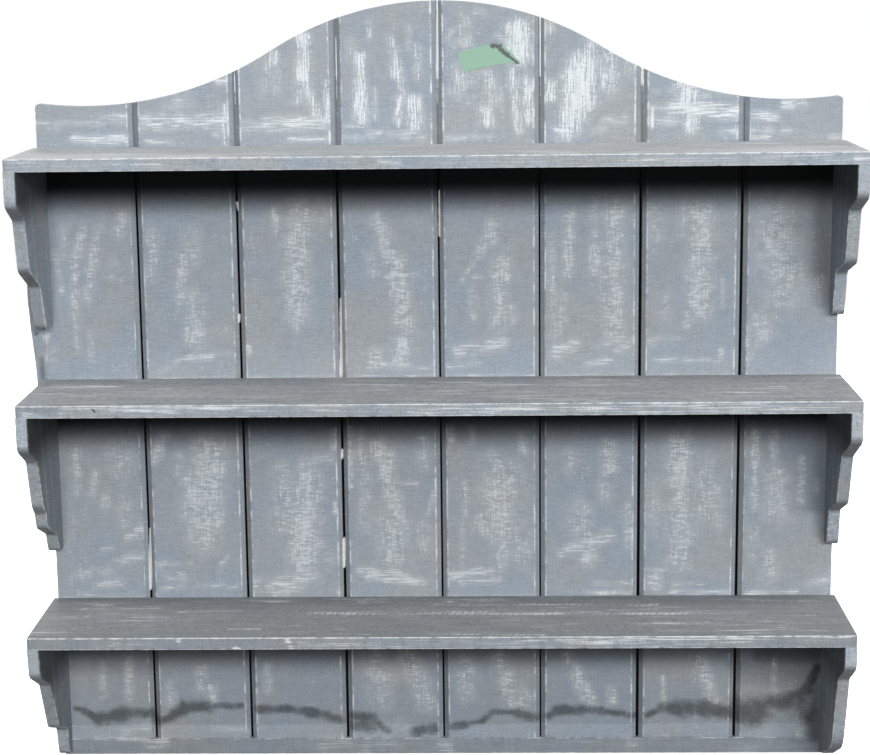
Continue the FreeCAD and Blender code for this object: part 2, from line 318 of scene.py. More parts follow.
def into_scene(
    shape: bmesh.types.BMesh, name: str, materials: list[bpy.types.Material]
) -> bpy.types.Object:
    """Turn a shape into an object of the scene, and free it.

    Args:
        shape: The finished shape.
        name: The object's name.
        materials: Its materials, in the order of their slots.

    Returns:
        The new object.
    """
    mesh = bpy.data.meshes.new(name)
    shape.to_mesh(mesh)
    shape.free()
    for material in materials:
        mesh.materials.append(material)
    piece = bpy.data.objects.new(name, mesh)
    bpy.context.scene.collection.objects.link(piece)
    return piece


def read_rows(items: bpy.types.bpy_prop_collection, name: str) -> np.ndarray:
    """Read a vector of each vertex.

    Args:
        items: The mesh's vertices or its vertex normals.
        name: The vector's property.

    Returns:
        One row of three for each vertex.
    """
    rows = np.empty(len(items) * 3)
    items.foreach_get(name, rows)
    return rows.reshape(-1, 3)


def write_load(mesh: bpy.types.Mesh, mark: Mark, load: np.ndarray) -> None:
    """Store a mark's load at each vertex, where the paint reads it.

    Args:
        mesh: The piece's mesh.
        mark: The kind of mark.
        load: The load at each vertex.
    """
    attribute = mesh.attributes.new(mark.value, "FLOAT", "POINT")
    attribute.data.foreach_set("value", load.astype(np.float32))


RELIEFS = {
    Mark.STREAK: {Grain.UPRIGHT: 0.48, Grain.SAW: 0.1, Grain.SPECKLE: 0.32, Grain.CLOUD: 0.1},
    Mark.UP: {Grain.UPRIGHT: 0.3, Grain.SAW: 0.38, Grain.SPECKLE: 0.24, Grain.CLOUD: 0.08},
    Mark.ACROSS: {Grain.LEVEL: 0.6, Grain.GRIT: 0.24, Grain.CLOUD: 0.12},
    Mark.ARRIS: {Grain.CLOUD: 0.65, Grain.GRIT: 0.35},
}
SHADE = {Grain.CLOUD: 0.2, Grain.SPECKLE: 0.45, Grain.SAW: 0.2, Grain.UPRIGHT: 0.15}
TEAR = {Grain.CLOUD: 0.55, Grain.SPECKLE: 0.45}


@dataclass(frozen=True)
class DirtAndPaintedLight:
    """One layer over the paint, dark or light: dirt, a stain, painted shade or painted light.

    It shows from the load called start and is full at the load called full. The more ragged it is, the
    more its edge is torn.
    """

    mark: Mark
    colour: str
    start: float
    full: float
    ragged: float = 0.0
    blend: str = "MIX"


@dataclass(frozen=True)
class ChalkPaint:
    """Chalk paint, brushed on in two greys, then dry-brushed white.

    It is flat and soft to the eye: a clouded blue grey with warmer patches, and broken white where a
    nearly dry brush caught the saw marks and the arrises. Real bristle marks and grit are finer than
    the render shows, so they are drawn as coarse as a pixel or two.
    """

    name: str
    cool: str = "#A0ABB7"
    warm: str = "#A8ADB1"
    haze: str = "#C3C8CA"
    white: str = "#DCE1E4"
    # The grey of grime and of painted shade.
    grime: str = "#595C5D"
    patch_size: float = 60.0
    cloud_size: float = 11.0
    bristle_width: float = 1.3
    bristle_length: float = 22.0
    saw_sizes: tuple[float, float, float] = (8.0, 8.0, 1.6)
    grit_size: float = 0.9
    speckle_size: float = 2.0
    stray_sizes: tuple[float, float, float] = (24.0, 24.0, 75.0)
    stray_load: float = 0.36
    stray_mark: Mark = Mark.UP
    softness: float = 0.42
    cover: float = 0.95
    bay_cover: float = 0.7
    film: float = 0.75
    thin_film: float = 0.3
    thick_film: float = 1.2
    shading: float = 0.2
    relief: float = 0.3
    relief_height: float = 0.2
    roughness: float = 0.8
    gloss: float = 0.08
    # The first of these dulls the white where it lies over grime and painted shade.
    dirt_and_painted_light: tuple[DirtAndPaintedLight, ...] = (
        DirtAndPaintedLight(Mark.GRIME, "#5A5E5F", 0.0, 3.0),
        DirtAndPaintedLight(Mark.DAMP, "#A2A3A0", 0.2, 0.9, 0.85, "MULTIPLY"),
        # Painted shadow under the shelves, near black.
        DirtAndPaintedLight(Mark.SOOT, "#0E0E0D", 0.0, 1.0),
        # Painted shade, black, in the joints, and dark chips.
        DirtAndPaintedLight(Mark.CREVICE, "#040404", 0.5, 0.9),
        DirtAndPaintedLight(Mark.GAP_LIGHT, "#F2F4F5", 0.45, 0.8, 0.3),
    )

    def spread_noise(
        self,
        tree: bpy.types.NodeTree,
        sizes: tuple[float, float, float],
        detail: float = 1.0,
        spread: float = 0.2,
        wander: float = 0.0,
    ) -> bpy.types.Node:
        """A noise of a real size, spread from zero to one.

        Args:
            tree: The material's node tree.
            sizes: The pattern's size along X, Y and Z, in millimetres.
            detail: How many finer layers it has.
            spread: How far from the middle the raw value reaches zero and one.
            wander: How much its lines waver.

        Returns:
            The node whose output is the spread noise.
        """
        raw = real_size_noise(tree, sizes, detail, wander)
        return ramp(tree, raw, (0.5 - spread, 0.5 + spread))

    def grains(self, tree: bpy.types.NodeTree) -> dict[Grain, bpy.types.Node]:
        """Build the patterns.

        Args:
            tree: The material's node tree.

        Returns:
            The node of each pattern.
        """
        fine, long = self.bristle_width, self.bristle_length
        noise = partial(self.spread_noise, tree)
        return {
            Grain.UPRIGHT: noise((fine, fine, long), detail=2.0, spread=0.12, wander=0.35),
            Grain.LEVEL: noise((long, fine, fine), detail=2.0, spread=0.14, wander=0.35),
            Grain.SAW: noise(self.saw_sizes, detail=1.5, spread=0.12, wander=0.4),
            Grain.GRIT: noise((self.grit_size,) * 3, detail=1.0, spread=0.18),
            Grain.SPECKLE: noise((self.speckle_size,) * 3, detail=2.0, spread=0.18),
            Grain.CLOUD: noise((self.cloud_size,) * 3, detail=2.0),
        }

    def blended(
        self, tree: bpy.types.NodeTree, grains: dict[Grain, bpy.types.Node], shares: dict[Grain, float]
    ) -> bpy.types.Node:
        """Add patterns up by their shares.

        Args:
            tree: The material's node tree.
            grains: The node of each pattern.
            shares: The share of each pattern that is used.

        Returns:
            The node whose output is the sum.
        """
        total = 0.0
        for grain, share in shares.items():
            total = calculate(tree, "MULTIPLY_ADD", grains[grain], share, total)
        return total

    def ground(self, tree: bpy.types.NodeTree, grains: dict[Grain, bpy.types.Node]) -> bpy.types.Node:
        """Lay the two greys, shaded by the fine patterns.

        Args:
            tree: The material's node tree.
            grains: The node of each pattern.

        Returns:
            The node whose output is the colour.
        """
        patch = self.spread_noise(tree, (self.patch_size,) * 3, spread=0.16)
        greys = overlaid(tree, patch, self.cool, self.warm)
        depth = self.blended(tree, grains, SHADE)
        shade = ramp(tree, depth, result=(1 - self.shading, 1 + self.shading))
        return add(tree, "ShaderNodeVectorMath", {0: greys, "Scale": shade}, operation="SCALE")

    def white_cover(self, tree: bpy.types.NodeTree, grains: dict[Grain, bpy.types.Node]) -> bpy.types.Node:
        """Where the dry brush left white: each mark's load catches the high places of its relief.

        Light strays lie everywhere, also where no mark was placed.

        Args:
            tree: The material's node tree.
            grains: The node of each pattern.

        Returns:
            The node whose output is the cover from zero to one.
        """
        broad = self.spread_noise(tree, self.stray_sizes, wander=0.5)
        stray = calculate(tree, "MULTIPLY", broad, self.stray_load)
        span = (1.0, 1 + self.softness)
        white = 0.0
        for mark, shares in RELIEFS.items():
            least = stray if mark is self.stray_mark else 0.0
            load = calculate(tree, "MAXIMUM", read_load(tree, mark), least)
            total = calculate(tree, "ADD", load, self.blended(tree, grains, shares))
            fullest = self.bay_cover if mark is Mark.UP else self.cover
            caught = ramp(tree, total, span, (0.0, fullest), interpolation_type="SMOOTHSTEP")
            white = calculate(tree, "MAXIMUM", caught, white)
        return white

    def haze_cover(self, tree: bpy.types.NodeTree, grains: dict[Grain, bpy.types.Node]) -> bpy.types.Node:
        """Where a thin film of the white lies round the marks.

        Args:
            tree: The material's node tree.
            grains: The node of each pattern.

        Returns:
            The node whose output is the cover from zero to one.
        """
        widest = 0.0
        for mark in (Mark.STREAK, Mark.UP, Mark.ACROSS):
            widest = calculate(tree, "MAXIMUM", read_load(tree, mark), widest)
        films = (self.thin_film * self.film, self.thick_film * self.film)
        broken = ramp(tree, grains[Grain.CLOUD], result=films)
        return calculate(tree, "MULTIPLY", widest, broken, clamp=True)

    def lay_dirt_and_painted_light(
        self, tree: bpy.types.NodeTree, painted: Source, grains: dict[Grain, bpy.types.Node]
    ) -> Source:
        """Lay grime and painted shade, the damp line, painted shadow under the shelves, black painted
        shade in the joints, dark chips and light in the gaps over the paint.

        Args:
            tree: The material's node tree.
            painted: The paint's colour.
            grains: The node of each pattern.

        Returns:
            The soiled colour.
        """
        torn = self.blended(tree, grains, TEAR)
        for dirt_and_painted_light in self.dirt_and_painted_light:
            load = read_load(tree, dirt_and_painted_light.mark)
            ragged = calculate(tree, "MULTIPLY_ADD", torn, dirt_and_painted_light.ragged, load)
            shift = dirt_and_painted_light.ragged / 2
            cover = ramp(tree, ragged, (dirt_and_painted_light.start + shift, dirt_and_painted_light.full + shift))
            painted = overlaid(tree, cover, painted, dirt_and_painted_light.colour, dirt_and_painted_light.blend)
        return painted

    def material(self) -> bpy.types.Material:
        """Build the paint, from the ground up.

        Returns:
            The material.
        """
        material, tree = new_material(self.name)
        grains = self.grains(tree)
        painted = self.ground(tree, grains)
        films = (
            (read_load(tree, Mark.GRIME), self.grime),
            (self.haze_cover(tree, grains), self.haze),
            (self.white_cover(tree, grains), self.white),
        )
        for cover, colour in films:
            painted = overlaid(tree, cover, painted, colour)
        relief = (grains[Grain.SAW], self.relief, self.relief_height)
        finish_matt(tree, self.lay_dirt_and_painted_light(tree, painted, grains), self.roughness, relief, self.gloss)
        return material


@dataclass(frozen=True)
class BarePine:
    """Unpainted pine, rough sawn and greyed: warm straw with long darker growth lines."""

    name: str = "bare_aged_pine"
    pale: str = "#B79A6E"
    dark: str = "#8E7049"
    ring_width: float = 6.0
    grain_length: float = 160.0
    fibre_share: float = 0.25
    fibre_relief: float = 0.5
    fibre_height: float = 0.3
    pale_below: float = 0.35
    dark_above: float = 0.62
    lengthways: Lengthways = Lengthways.ALONG
    roughness: float = 0.82

    def material(self) -> bpy.types.Material:
        """Build the timber.

        Returns:
            The material.
        """
        material, tree = new_material(f"{self.name}_{self.lengthways.value}")
        sizes = [self.ring_width] * 3
        sizes["xyz".index(self.lengthways.value)] = self.grain_length
        raw = real_size_noise(tree, tuple(sizes), detail=4.0)
        rings = ramp(tree, raw, (self.pale_below, self.dark_above))
        fibre = real_size_noise(tree, tuple(size * self.fibre_share for size in sizes), detail=3.0)
        colour = overlaid(tree, rings, self.pale, self.dark)
        finish_matt(tree, colour, self.roughness, (fibre, self.fibre_relief, self.fibre_height))
        return material


@dataclass(frozen=True)
class PlainMetal:
    """Dull zinc plate or steel wire: grey metal with a clouded, uneven gloss."""

    name: str
    colour: str
    cloud_size: float = 3.0
    smooth: float = 0.4
    rough: float = 0.6

    def material(self) -> bpy.types.Material:
        """Build the metal.

        Returns:
            The material.
        """
        material, tree = new_material(self.name)
        cloud = real_size_noise(tree, (self.cloud_size,) * 3, detail=3.0)
        gloss = ramp(tree, cloud, result=(self.smooth, self.rough))
        inputs = {"Base Color": linear(self.colour), "Metallic": 1.0, "Roughness": gloss}
        shader = add(tree, "ShaderNodeBsdfPrincipled", inputs)
        add(tree, "ShaderNodeOutputMaterial", {"Surface": shader})
        return material


@dataclass(frozen=True)
class CrepePaper:
    """Green masking paper: thin matt crepe with fine cross creases, darker grey along its fold and in
    dots.
    """

    name: str = "green_crepe_paper"
    green: str = "#89AC97"
    worn: str = "#55595C"
    crease_sizes: tuple[float, float, float] = (0.9, 3.6, 3.6)
    crease_relief: float = 0.3
    crease_height: float = 0.1
    worn_edge: float = 0.12
    roughness: float = 0.7

    def material(self) -> bpy.types.Material:
        """Build the paper.

        Returns:
            The material.
        """
        material, tree = new_material(self.name)
        crease = real_size_noise(tree, self.crease_sizes, detail=2.0)
        torn = calculate(tree, "ADD", read_load(tree, Mark.GRIME), crease)
        colour = overlaid(tree, ramp(tree, torn, (1.0, 1 + self.worn_edge)), self.green, self.worn)
        finish_matt(tree, colour, self.roughness, (crease, self.crease_relief, self.crease_height))
        return material


@dataclass(frozen=True)
class PhotoCamera:
    """The photograph's camera.

    Its place is in millimetres, its turns are in radians, its focal length is in pixels, and it sees
    as far as far_end, in metres.
    """

    x: float = 47.63
    y: float = -2076.96
    z: float = 149.89
    yaw: float = 0.0258
    pitch: float = 0.1899
    roll: float = -0.0117
    focal_px: float = 2076.1
    far_end: float = 100.0

    def axes(self) -> tuple[Vector, Vector, Vector]:
        """Work out how the camera is turned.

        Returns:
            The directions right, up and forward of the picture.
        """
        forward = Vector(
            (
                -math.sin(self.yaw) * math.cos(self.pitch),
                math.cos(self.yaw) * math.cos(self.pitch),
                -math.sin(self.pitch),
            )
        )
        level = Vector((math.cos(self.yaw), math.sin(self.yaw), 0))
        upright = level.cross(forward)
        right = level * math.cos(self.roll) + upright * math.sin(self.roll)
        return right, right.cross(forward), forward

    def cast(self, px: float, py: float, facing: Facing, place: float) -> Vector:
        """Cast a pixel onto a plane square to an axis.

        Args:
            px: The pixel's column.
            py: The pixel's row.
            facing: How the plane faces.
            place: The plane's Y or Z, in millimetres.

        Returns:
            The point in millimetres.
        """
        right, up, forward = self.axes()
        ray = (
            forward
            + right * ((px - IMAGE_WIDTH / 2) / self.focal_px)
            + up * ((IMAGE_HEIGHT / 2 - py) / self.focal_px)
        )
        start = Vector((self.x, self.y, self.z))
        point = start + ray * ((place - start[facing]) / ray[facing])
        point[facing] = place
        return point

    def build(self) -> None:
        """Make the camera and look through it."""
        data = bpy.data.cameras.new("photo_camera")
        data.sensor_width = SENSOR_WIDTH
        data.lens = self.focal_px / IMAGE_WIDTH * SENSOR_WIDTH
        data.clip_end = self.far_end
        camera = bpy.data.objects.new("photo_camera", data)
        right, up, forward = self.axes()
        turn = Matrix((right, up, -forward)).transposed().to_4x4()
        camera.matrix_world = Matrix.Translation(Vector((self.x, self.y, self.z)) * MM) @ turn
        bpy.context.scene.collection.objects.link(camera)
        bpy.context.scene.camera = camera


CAMERA = PhotoCamera()
BOARD_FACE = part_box("back_board_1")[0].y / MM
RAIL_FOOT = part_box("foot_rail")[0].z / MM


@dataclass(frozen=True)
class Pulls:
    """Brush pulls on one plane, on the boards' face unless it is told otherwise."""

    mark: Mark
    rows: tuple[Row, ...]
    facing: Facing = Facing.FRONT
    place: float = BOARD_FACE
    feather: float = 2.5

    def lay(self, points: np.ndarray) -> np.ndarray:
        """Work out how much each point gets.

        Args:
            points: One row of X, Y and Z in millimetres for each point.

        Returns:
            The load from zero to one for each point.
        """
        across = [axis for axis in range(3) if axis != self.facing]
        flat = points[:, across]
        load = np.zeros(len(points))
        for *pixels, half, strength in self.rows:
            ends = [CAMERA.cast(*pixel, self.facing, self.place) for pixel in (pixels[:2], pixels[2:])]
            start, end = (np.array(point)[across] for point in ends)
            reach = half * self.feather
            low, high = np.minimum(start, end) - reach, np.maximum(start, end) + reach
            near = np.flatnonzero(np.all((flat > low) & (flat < high), axis=1))
            if not len(near):
                continue
            run = end - start
            offset = flat[near] - start
            travel = np.clip(offset @ run / max(float(run @ run), LEAST_SQUARE), 0, 1)
            away = np.hypot(*(offset - travel[:, None] * run).T)
            body = (1 - np.clip(away / reach, 0, 1) ** 2) ** 2
            load[near] = np.maximum(load[near], strength * body)
        return load


@dataclass(frozen=True)
class DryPulls(Pulls):
    """Pulls of a nearly dry brush: light ones still catch, and full ones never quite cover."""

    ease: float = 0.62
    fullest: float = 0.87

    def lay(self, points: np.ndarray) -> np.ndarray:
        """As for any pulls, eased."""
        return self.fullest * super().lay(points) ** self.ease


ARCH_PULLS = DryPulls(
    Mark.STREAK,
    (
        (224, 106, 224, 143, 2, 0.55), (273, 54, 274, 63, 4, 0.6), (270, 66, 272, 87, 8, 0.35),
        (303, 38, 303, 76, 5, 0.95), (298, 84, 297, 100, 4, 0.45), (302, 80, 317, 117, 4, 0.6),
        (327, 84, 327, 118, 3, 0.6), (369, 22, 369, 37, 2, 0.45), (352, 44, 352, 57, 4, 0.4),
        (360, 56, 360, 92, 4, 0.8), (360, 92, 361, 119, 5, 0.9), (375, 90, 375, 117, 2, 0.45),
        (390, 38, 398, 76, 3, 0.55), (396, 66, 397, 74, 4, 0.8), (400, 78, 407, 110, 3, 0.5),
        (398, 98, 398, 124, 3, 0.75), (409, 28, 409, 48, 2, 0.4), (418, 48, 418, 78, 3, 0.5),
        (414, 102, 415, 125, 5, 0.85), (465, 18, 465, 42, 4, 0.5), (453, 32, 452, 46, 3, 0.4),
        (518, 30, 519, 55, 8, 1), (524, 18, 524, 28, 3, 0.5), (459, 70, 455, 92, 5, 0.45),
        (468, 74, 468, 92, 6, 0.35), (489, 75, 491, 100, 5, 0.5), (487, 110, 487, 120, 5, 0.75),
        (514, 72, 515, 100, 4, 0.6), (526, 80, 531, 120, 4, 0.8), (515, 103, 519, 130, 3, 0.65),
        (501, 90, 502, 110, 2, 0.45), (550, 24, 550, 30, 3, 0.6), (551, 86, 551, 96, 4, 0.8),
        (572, 76, 573, 99, 7, 0.95), (578, 60, 577, 74, 4, 0.6), (573, 103, 566, 129, 7, 0.85),
        (582, 66, 582, 99, 10, 1), (590, 43, 588, 60, 5, 0.55), (607, 74, 607, 84, 8, 0.6),
        (607, 56, 609, 64, 8, 0.5), (577, 104, 570, 122, 9, 0.85), (630, 60, 632, 72, 5, 0.4),
        (687, 88, 688, 101, 8, 0.85), (691, 118, 691, 126, 5, 0.8), (652, 108, 652, 126, 2, 0.7),
        (737, 127, 737, 136, 2, 0.6),
    ),
)

UPRIGHT_PULLS = DryPulls(
    Mark.UP,
    (
        (63, 229, 64, 256, 3, 0.4), (54, 252, 62, 292, 2.5, 0.6), (83, 229, 75, 264, 3.5, 0.6),
        (75, 264, 74, 312, 3.5, 0.65), (75, 318, 76, 331, 2, 0.8), (98, 231, 91, 271, 4, 0.5),
        (91, 271, 87, 299, 4, 0.5), (76, 331, 77, 352, 2, 0.4), (91, 333, 91, 359, 2.5, 0.45),
        (123, 216, 117, 234, 4, 0.5), (113, 264, 112, 275, 4, 0.35), (46, 333, 47, 338, 3, 0.9),
        (50, 353, 51, 361, 6, 0.35), (153, 235, 152, 274, 5, 0.5), (183, 257, 181, 300, 4, 0.65),
        (191, 235, 192, 256, 7, 0.4), (192, 300, 193, 317, 8, 0.5), (195, 324, 196, 338, 7, 0.75),
        (248, 348, 248, 352, 3, 0.8), (275, 211, 277, 234, 3, 0.6), (296, 242, 297, 312, 9, 0.7),
        (301, 201, 300, 241, 8, 0.5), (298, 309, 298, 326, 5, 0.55), (317, 203, 318, 218, 6, 0.35),
        (378, 220, 392, 263, 6, 0.6), (397, 264, 404, 322, 7, 0.7), (410, 322, 411, 344, 5, 0.45),
        (373, 253, 374, 274, 5, 0.4), (402, 346, 402, 359, 7, 0.85), (376, 353, 376, 360, 5, 0.7),
        (491, 226, 491, 240, 5, 0.65), (484, 241, 478, 256, 4, 0.55), (477, 257, 461, 281, 2, 0.4),
        (502, 263, 503, 278, 7, 0.65), (499, 279, 499, 325, 6, 0.6), (473, 287, 473, 318, 3.5, 0.4),
        (511, 309, 511, 325, 4, 0.5), (552, 235, 553, 335, 3, 0.5), (570, 216, 567, 274, 4, 0.65),
        (566, 275, 560, 330, 3, 0.45), (596, 246, 595, 268, 5, 0.6), (600, 266, 601, 305, 2, 0.45),
        (594, 204, 594, 240, 3, 0.45), (615, 212, 614, 328, 7, 0.62), (654, 211, 655, 239, 6, 0.4),
        (702, 215, 701, 263, 9, 0.7), (700, 264, 700, 307, 9, 0.65), (685, 209, 686, 233, 5, 0.4),
        (689, 313, 687, 325, 3, 0.55), (666, 298, 666, 318, 6, 0.3), (723, 279, 723, 307, 1.6, 0.5),
        (721, 350, 721, 359, 2, 0.7), (776, 216, 779, 263, 15, 0.5), (782, 265, 782, 296, 11, 0.45),
        (802, 261, 802, 277, 4, 0.45), (759, 324, 760, 333, 8, 0.6), (778, 305, 778, 318, 3, 0.5),
        (746, 346, 747, 359, 7, 0.45), (76, 450, 78, 493, 3, 0.5), (96, 473, 91, 493, 3, 0.45),
        (121, 451, 120, 470, 8, 0.4), (106, 499, 105, 505, 3.5, 0.55), (126, 503, 126, 524, 5, 0.4),
        (164, 436, 153, 461, 4, 0.6), (180, 457, 180, 471, 4, 0.4), (209, 447, 209, 508, 11, 0.65),
        (214, 467, 214, 482, 7, 0.85), (193, 480, 193, 509, 9, 0.6), (194, 503, 194, 520, 8, 0.65),
        (219, 511, 219, 524, 4, 0.6), (204, 521, 204, 539, 10, 0.65), (280, 469, 280, 486, 6, 0.45),
        (288, 492, 289, 524, 11, 0.5), (307, 480, 306, 520, 11, 0.7), (304, 522, 304, 556, 10, 0.9),
        (333, 430, 334, 451, 2.5, 0.5), (335, 503, 335, 513, 1.8, 0.8), (341, 592, 342, 597, 3, 0.85),
        (350, 428, 350, 486, 2.5, 0.6), (361, 430, 362, 471, 3, 0.5), (378, 446, 399, 520, 6, 0.65),
        (390, 453, 390, 480, 3, 0.65), (365, 469, 365, 524, 5, 0.4), (423, 440, 423, 465, 4, 0.5),
        (428, 513, 435, 492, 2, 0.45), (392, 522, 392, 556, 11, 0.55), (423, 527, 423, 548, 5, 0.45),
        (451, 428, 451, 444, 3, 0.6), (472, 428, 472, 443, 2.5, 0.4), (523, 434, 523, 453, 3, 0.5),
        (465, 482, 465, 516, 2, 0.45), (500, 478, 501, 526, 14, 0.58), (496, 456, 497, 486, 5, 0.55),
        (506, 467, 510, 484, 2, 0.45), (483, 521, 483, 529, 7, 0.6), (502, 540, 501, 563, 6, 0.5),
        (522, 540, 522, 557, 8, 0.45), (462, 522, 463, 571, 2, 0.4), (570, 453, 570, 469, 4, 0.45),
        (609, 444, 609, 470, 5, 0.65), (606, 476, 606, 497, 5, 0.4), (580, 511, 580, 524, 9, 0.45),
        (589, 538, 589, 562, 5, 0.6), (629, 508, 630, 545, 4, 0.55), (679, 446, 678, 480, 9, 0.75),
        (687, 430, 687, 444, 2, 0.5), (679, 482, 679, 524, 7, 0.6), (705, 469, 705, 509, 9, 0.5),
        (716, 488, 716, 524, 5, 0.45), (655, 492, 655, 524, 9, 0.35), (680, 522, 680, 557, 11, 0.55),
        (655, 578, 655, 583, 5, 0.8), (755, 432, 755, 470, 3, 0.75), (755, 471, 755, 508, 3, 0.5),
        (774, 434, 774, 457, 3, 0.5), (777, 476, 777, 509, 10, 0.45), (802, 459, 801, 501, 3, 0.6),
        (817, 480, 817, 493, 2, 0.45), (753, 529, 753, 555, 4, 0.45), (770, 557, 770, 573, 6, 0.55),
        (102, 663, 103, 696, 2.5, 0.4), (129, 657, 129, 698, 3.5, 0.5), (201, 667, 201, 690, 4, 0.5),
        (171, 685, 171, 705, 4, 0.4), (212, 688, 212, 700, 4, 0.65), (268, 665, 268, 690, 3, 0.45),
        (256, 690, 256, 730, 1.6, 0.5), (374, 655, 374, 671, 7, 0.45), (381, 676, 381, 698, 9, 0.5),
        (408, 657, 427, 702, 7, 0.55), (466, 662, 466, 692, 7, 0.45), (500, 657, 512, 705, 6, 0.55),
        (522, 696, 522, 705, 8, 0.45), (567, 655, 583, 697, 4, 0.5), (576, 669, 593, 704, 4, 0.6),
        (612, 690, 612, 700, 4, 0.55), (663, 677, 664, 705, 2, 0.6), (701, 660, 713, 702, 4.5, 0.65),
        (694, 706, 695, 717, 2, 0.5), (774, 660, 775, 709, 2, 0.4), (798, 715, 799, 736, 3, 0.5),
    ),
)

LEVEL_PULLS = DryPulls(
    Mark.ACROSS,
    (
        (38, 123, 124, 123, 2, 0.4), (50, 125, 57, 126, 3, 0.5), (103, 116, 124, 117, 2.5, 0.6),
        (75, 138, 95, 140, 3, 0.85), (95, 140, 125, 139, 3.5, 0.9), (218, 82, 225, 81, 3, 0.7),
        (172, 104, 183, 100, 6, 0.4), (143, 121, 225, 120, 5, 0.7), (143, 127, 186, 127, 3, 0.5),
        (146, 142, 173, 142, 2, 0.55), (214, 133, 225, 133, 3, 0.45), (266, 124, 330, 122, 5, 0.75),
        (243, 126, 266, 126, 4, 0.5), (290, 139, 330, 138, 2, 0.6), (345, 126, 362, 126, 2, 0.5),
        (368, 133, 416, 133, 2.5, 0.45), (345, 137, 373, 137, 2, 0.4), (401, 137, 423, 137, 1.8, 0.5),
        (475, 13, 482, 12, 3, 0.4), (497, 35, 510, 42, 2.5, 0.55), (446, 138, 466, 138, 1.8, 0.6),
        (467, 137, 490, 136, 1.8, 0.5), (554, 90, 567, 90, 2, 0.5), (556, 130, 564, 130, 2.5, 0.8),
        (560, 130, 572, 127, 3, 0.8), (605, 121, 625, 120, 3, 0.55), (592, 132, 605, 129, 2.5, 0.45),
        (653, 92, 679, 92, 2, 0.4), (675, 108, 738, 112, 5.5, 0.95), (651, 108, 671, 108, 3, 0.5),
        (651, 121, 686, 121, 3, 0.6), (722, 130, 738, 131, 2.5, 0.6), (704, 117, 718, 117, 2.5, 0.45),
        (696, 93, 710, 95, 3, 0.45), (712, 91, 730, 93, 3, 0.4), (754, 115, 774, 117, 3.5, 0.75),
        (785, 104, 803, 103, 4, 0.65), (753, 130, 773, 130, 2.5, 0.6), (781, 131, 790, 130, 2, 0.45),
        (752, 137, 768, 137, 2, 0.45), (830, 137, 842, 136, 2, 0.45), (197, 331, 227, 328, 3, 0.4),
        (186, 358, 212, 357, 2.5, 0.75), (212, 354, 228, 353, 1.8, 0.45), (175, 361, 183, 359, 2, 0.55),
        (160, 371, 177, 368, 2.5, 0.4), (386, 276, 419, 275, 1.8, 0.7), (382, 364, 397, 363, 2.5, 0.55),
        (368, 368, 430, 368, 1.8, 0.4), (473, 277, 511, 276, 1.8, 0.5), (480, 347, 503, 343, 4.5, 0.75),
        (457, 352, 471, 349, 4.5, 0.75), (449, 366, 479, 363, 2.5, 0.6), (557, 351, 573, 345, 5, 0.8),
        (606, 342, 621, 337, 3.5, 0.6), (617, 352, 632, 341, 3, 0.5), (588, 364, 613, 359, 2.5, 0.55),
        (643, 340, 678, 338, 2.5, 0.45), (656, 360, 721, 359, 2, 0.6), (645, 344, 655, 346, 2, 0.35),
        (130, 536, 141, 527, 4, 0.6), (119, 561, 141, 556, 3.5, 0.7), (82, 575, 111, 571, 4, 0.5),
        (95, 586, 120, 582, 3.5, 0.6), (76, 593, 99, 595, 2, 0.45), (102, 549, 112, 549, 2, 0.45),
        (155, 563, 166, 563, 2, 0.75), (155, 569, 160, 567, 2.5, 0.7), (170, 564, 191, 563, 1.8, 0.45),
        (166, 578, 184, 576, 4, 0.6), (161, 589, 184, 588, 2, 0.55), (199, 586, 237, 586, 1.8, 0.5),
        (220, 566, 228, 557, 2, 0.5), (304, 462, 331, 458, 4, 0.5), (314, 541, 329, 560, 6, 0.45),
        (254, 587, 258, 580, 3, 0.7), (275, 588, 300, 576, 7, 0.7), (287, 586, 310, 574, 7, 0.7),
        (361, 571, 407, 574, 3.5, 0.8), (369, 577, 423, 582, 3, 0.8), (400, 484, 417, 484, 1.8, 0.5),
        (449, 576, 490, 571, 3.5, 0.75), (461, 583, 499, 579, 2.5, 0.6), (562, 552, 588, 541, 4, 0.75),
        (572, 530, 590, 523, 4, 0.45), (578, 546, 610, 536, 5, 0.75), (582, 560, 594, 555, 4, 0.65),
        (595, 583, 627, 583, 2, 0.6), (585, 593, 631, 592, 2, 0.75), (648, 570, 681, 570, 2, 0.5),
        (673, 584, 702, 584, 2, 0.5), (671, 592, 729, 592, 2, 0.65), (746, 593, 796, 592, 2, 0.65),
        (809, 583, 830, 579, 3, 0.45), (122, 733, 149, 728, 4, 0.5), (96, 738, 149, 739, 2, 0.45),
        (214, 729, 243, 729, 2, 0.5), (152, 745, 164, 741, 5, 0.7), (373, 727, 404, 725, 4, 0.4),
        (323, 745, 392, 744, 6, 0.45), (442, 746, 449, 746, 6, 0.7), (630, 743, 633, 743, 5, 0.6),
        (727, 750, 761, 749, 4, 0.4), (52, 382, 134, 380, 1.8, 0.6), (143, 379, 234, 378, 1.2, 0.65),
        (243, 378, 337, 377, 1.2, 0.6), (344, 377, 438, 376, 1.2, 0.6), (446, 376, 538, 375, 1.2, 0.6),
        (546, 376, 636, 375, 1.2, 0.55), (643, 375, 736, 375, 1.2, 0.55), (743, 375, 832, 375, 1.2, 0.5),
        (64, 597, 147, 597, 1.2, 0.4), (348, 598, 436, 598, 1.2, 0.5), (446, 597, 538, 596, 1.2, 0.45),
    ),
    fullest=0.8,
)

BOARD_PULLS = (ARCH_PULLS, UPRIGHT_PULLS, LEVEL_PULLS)

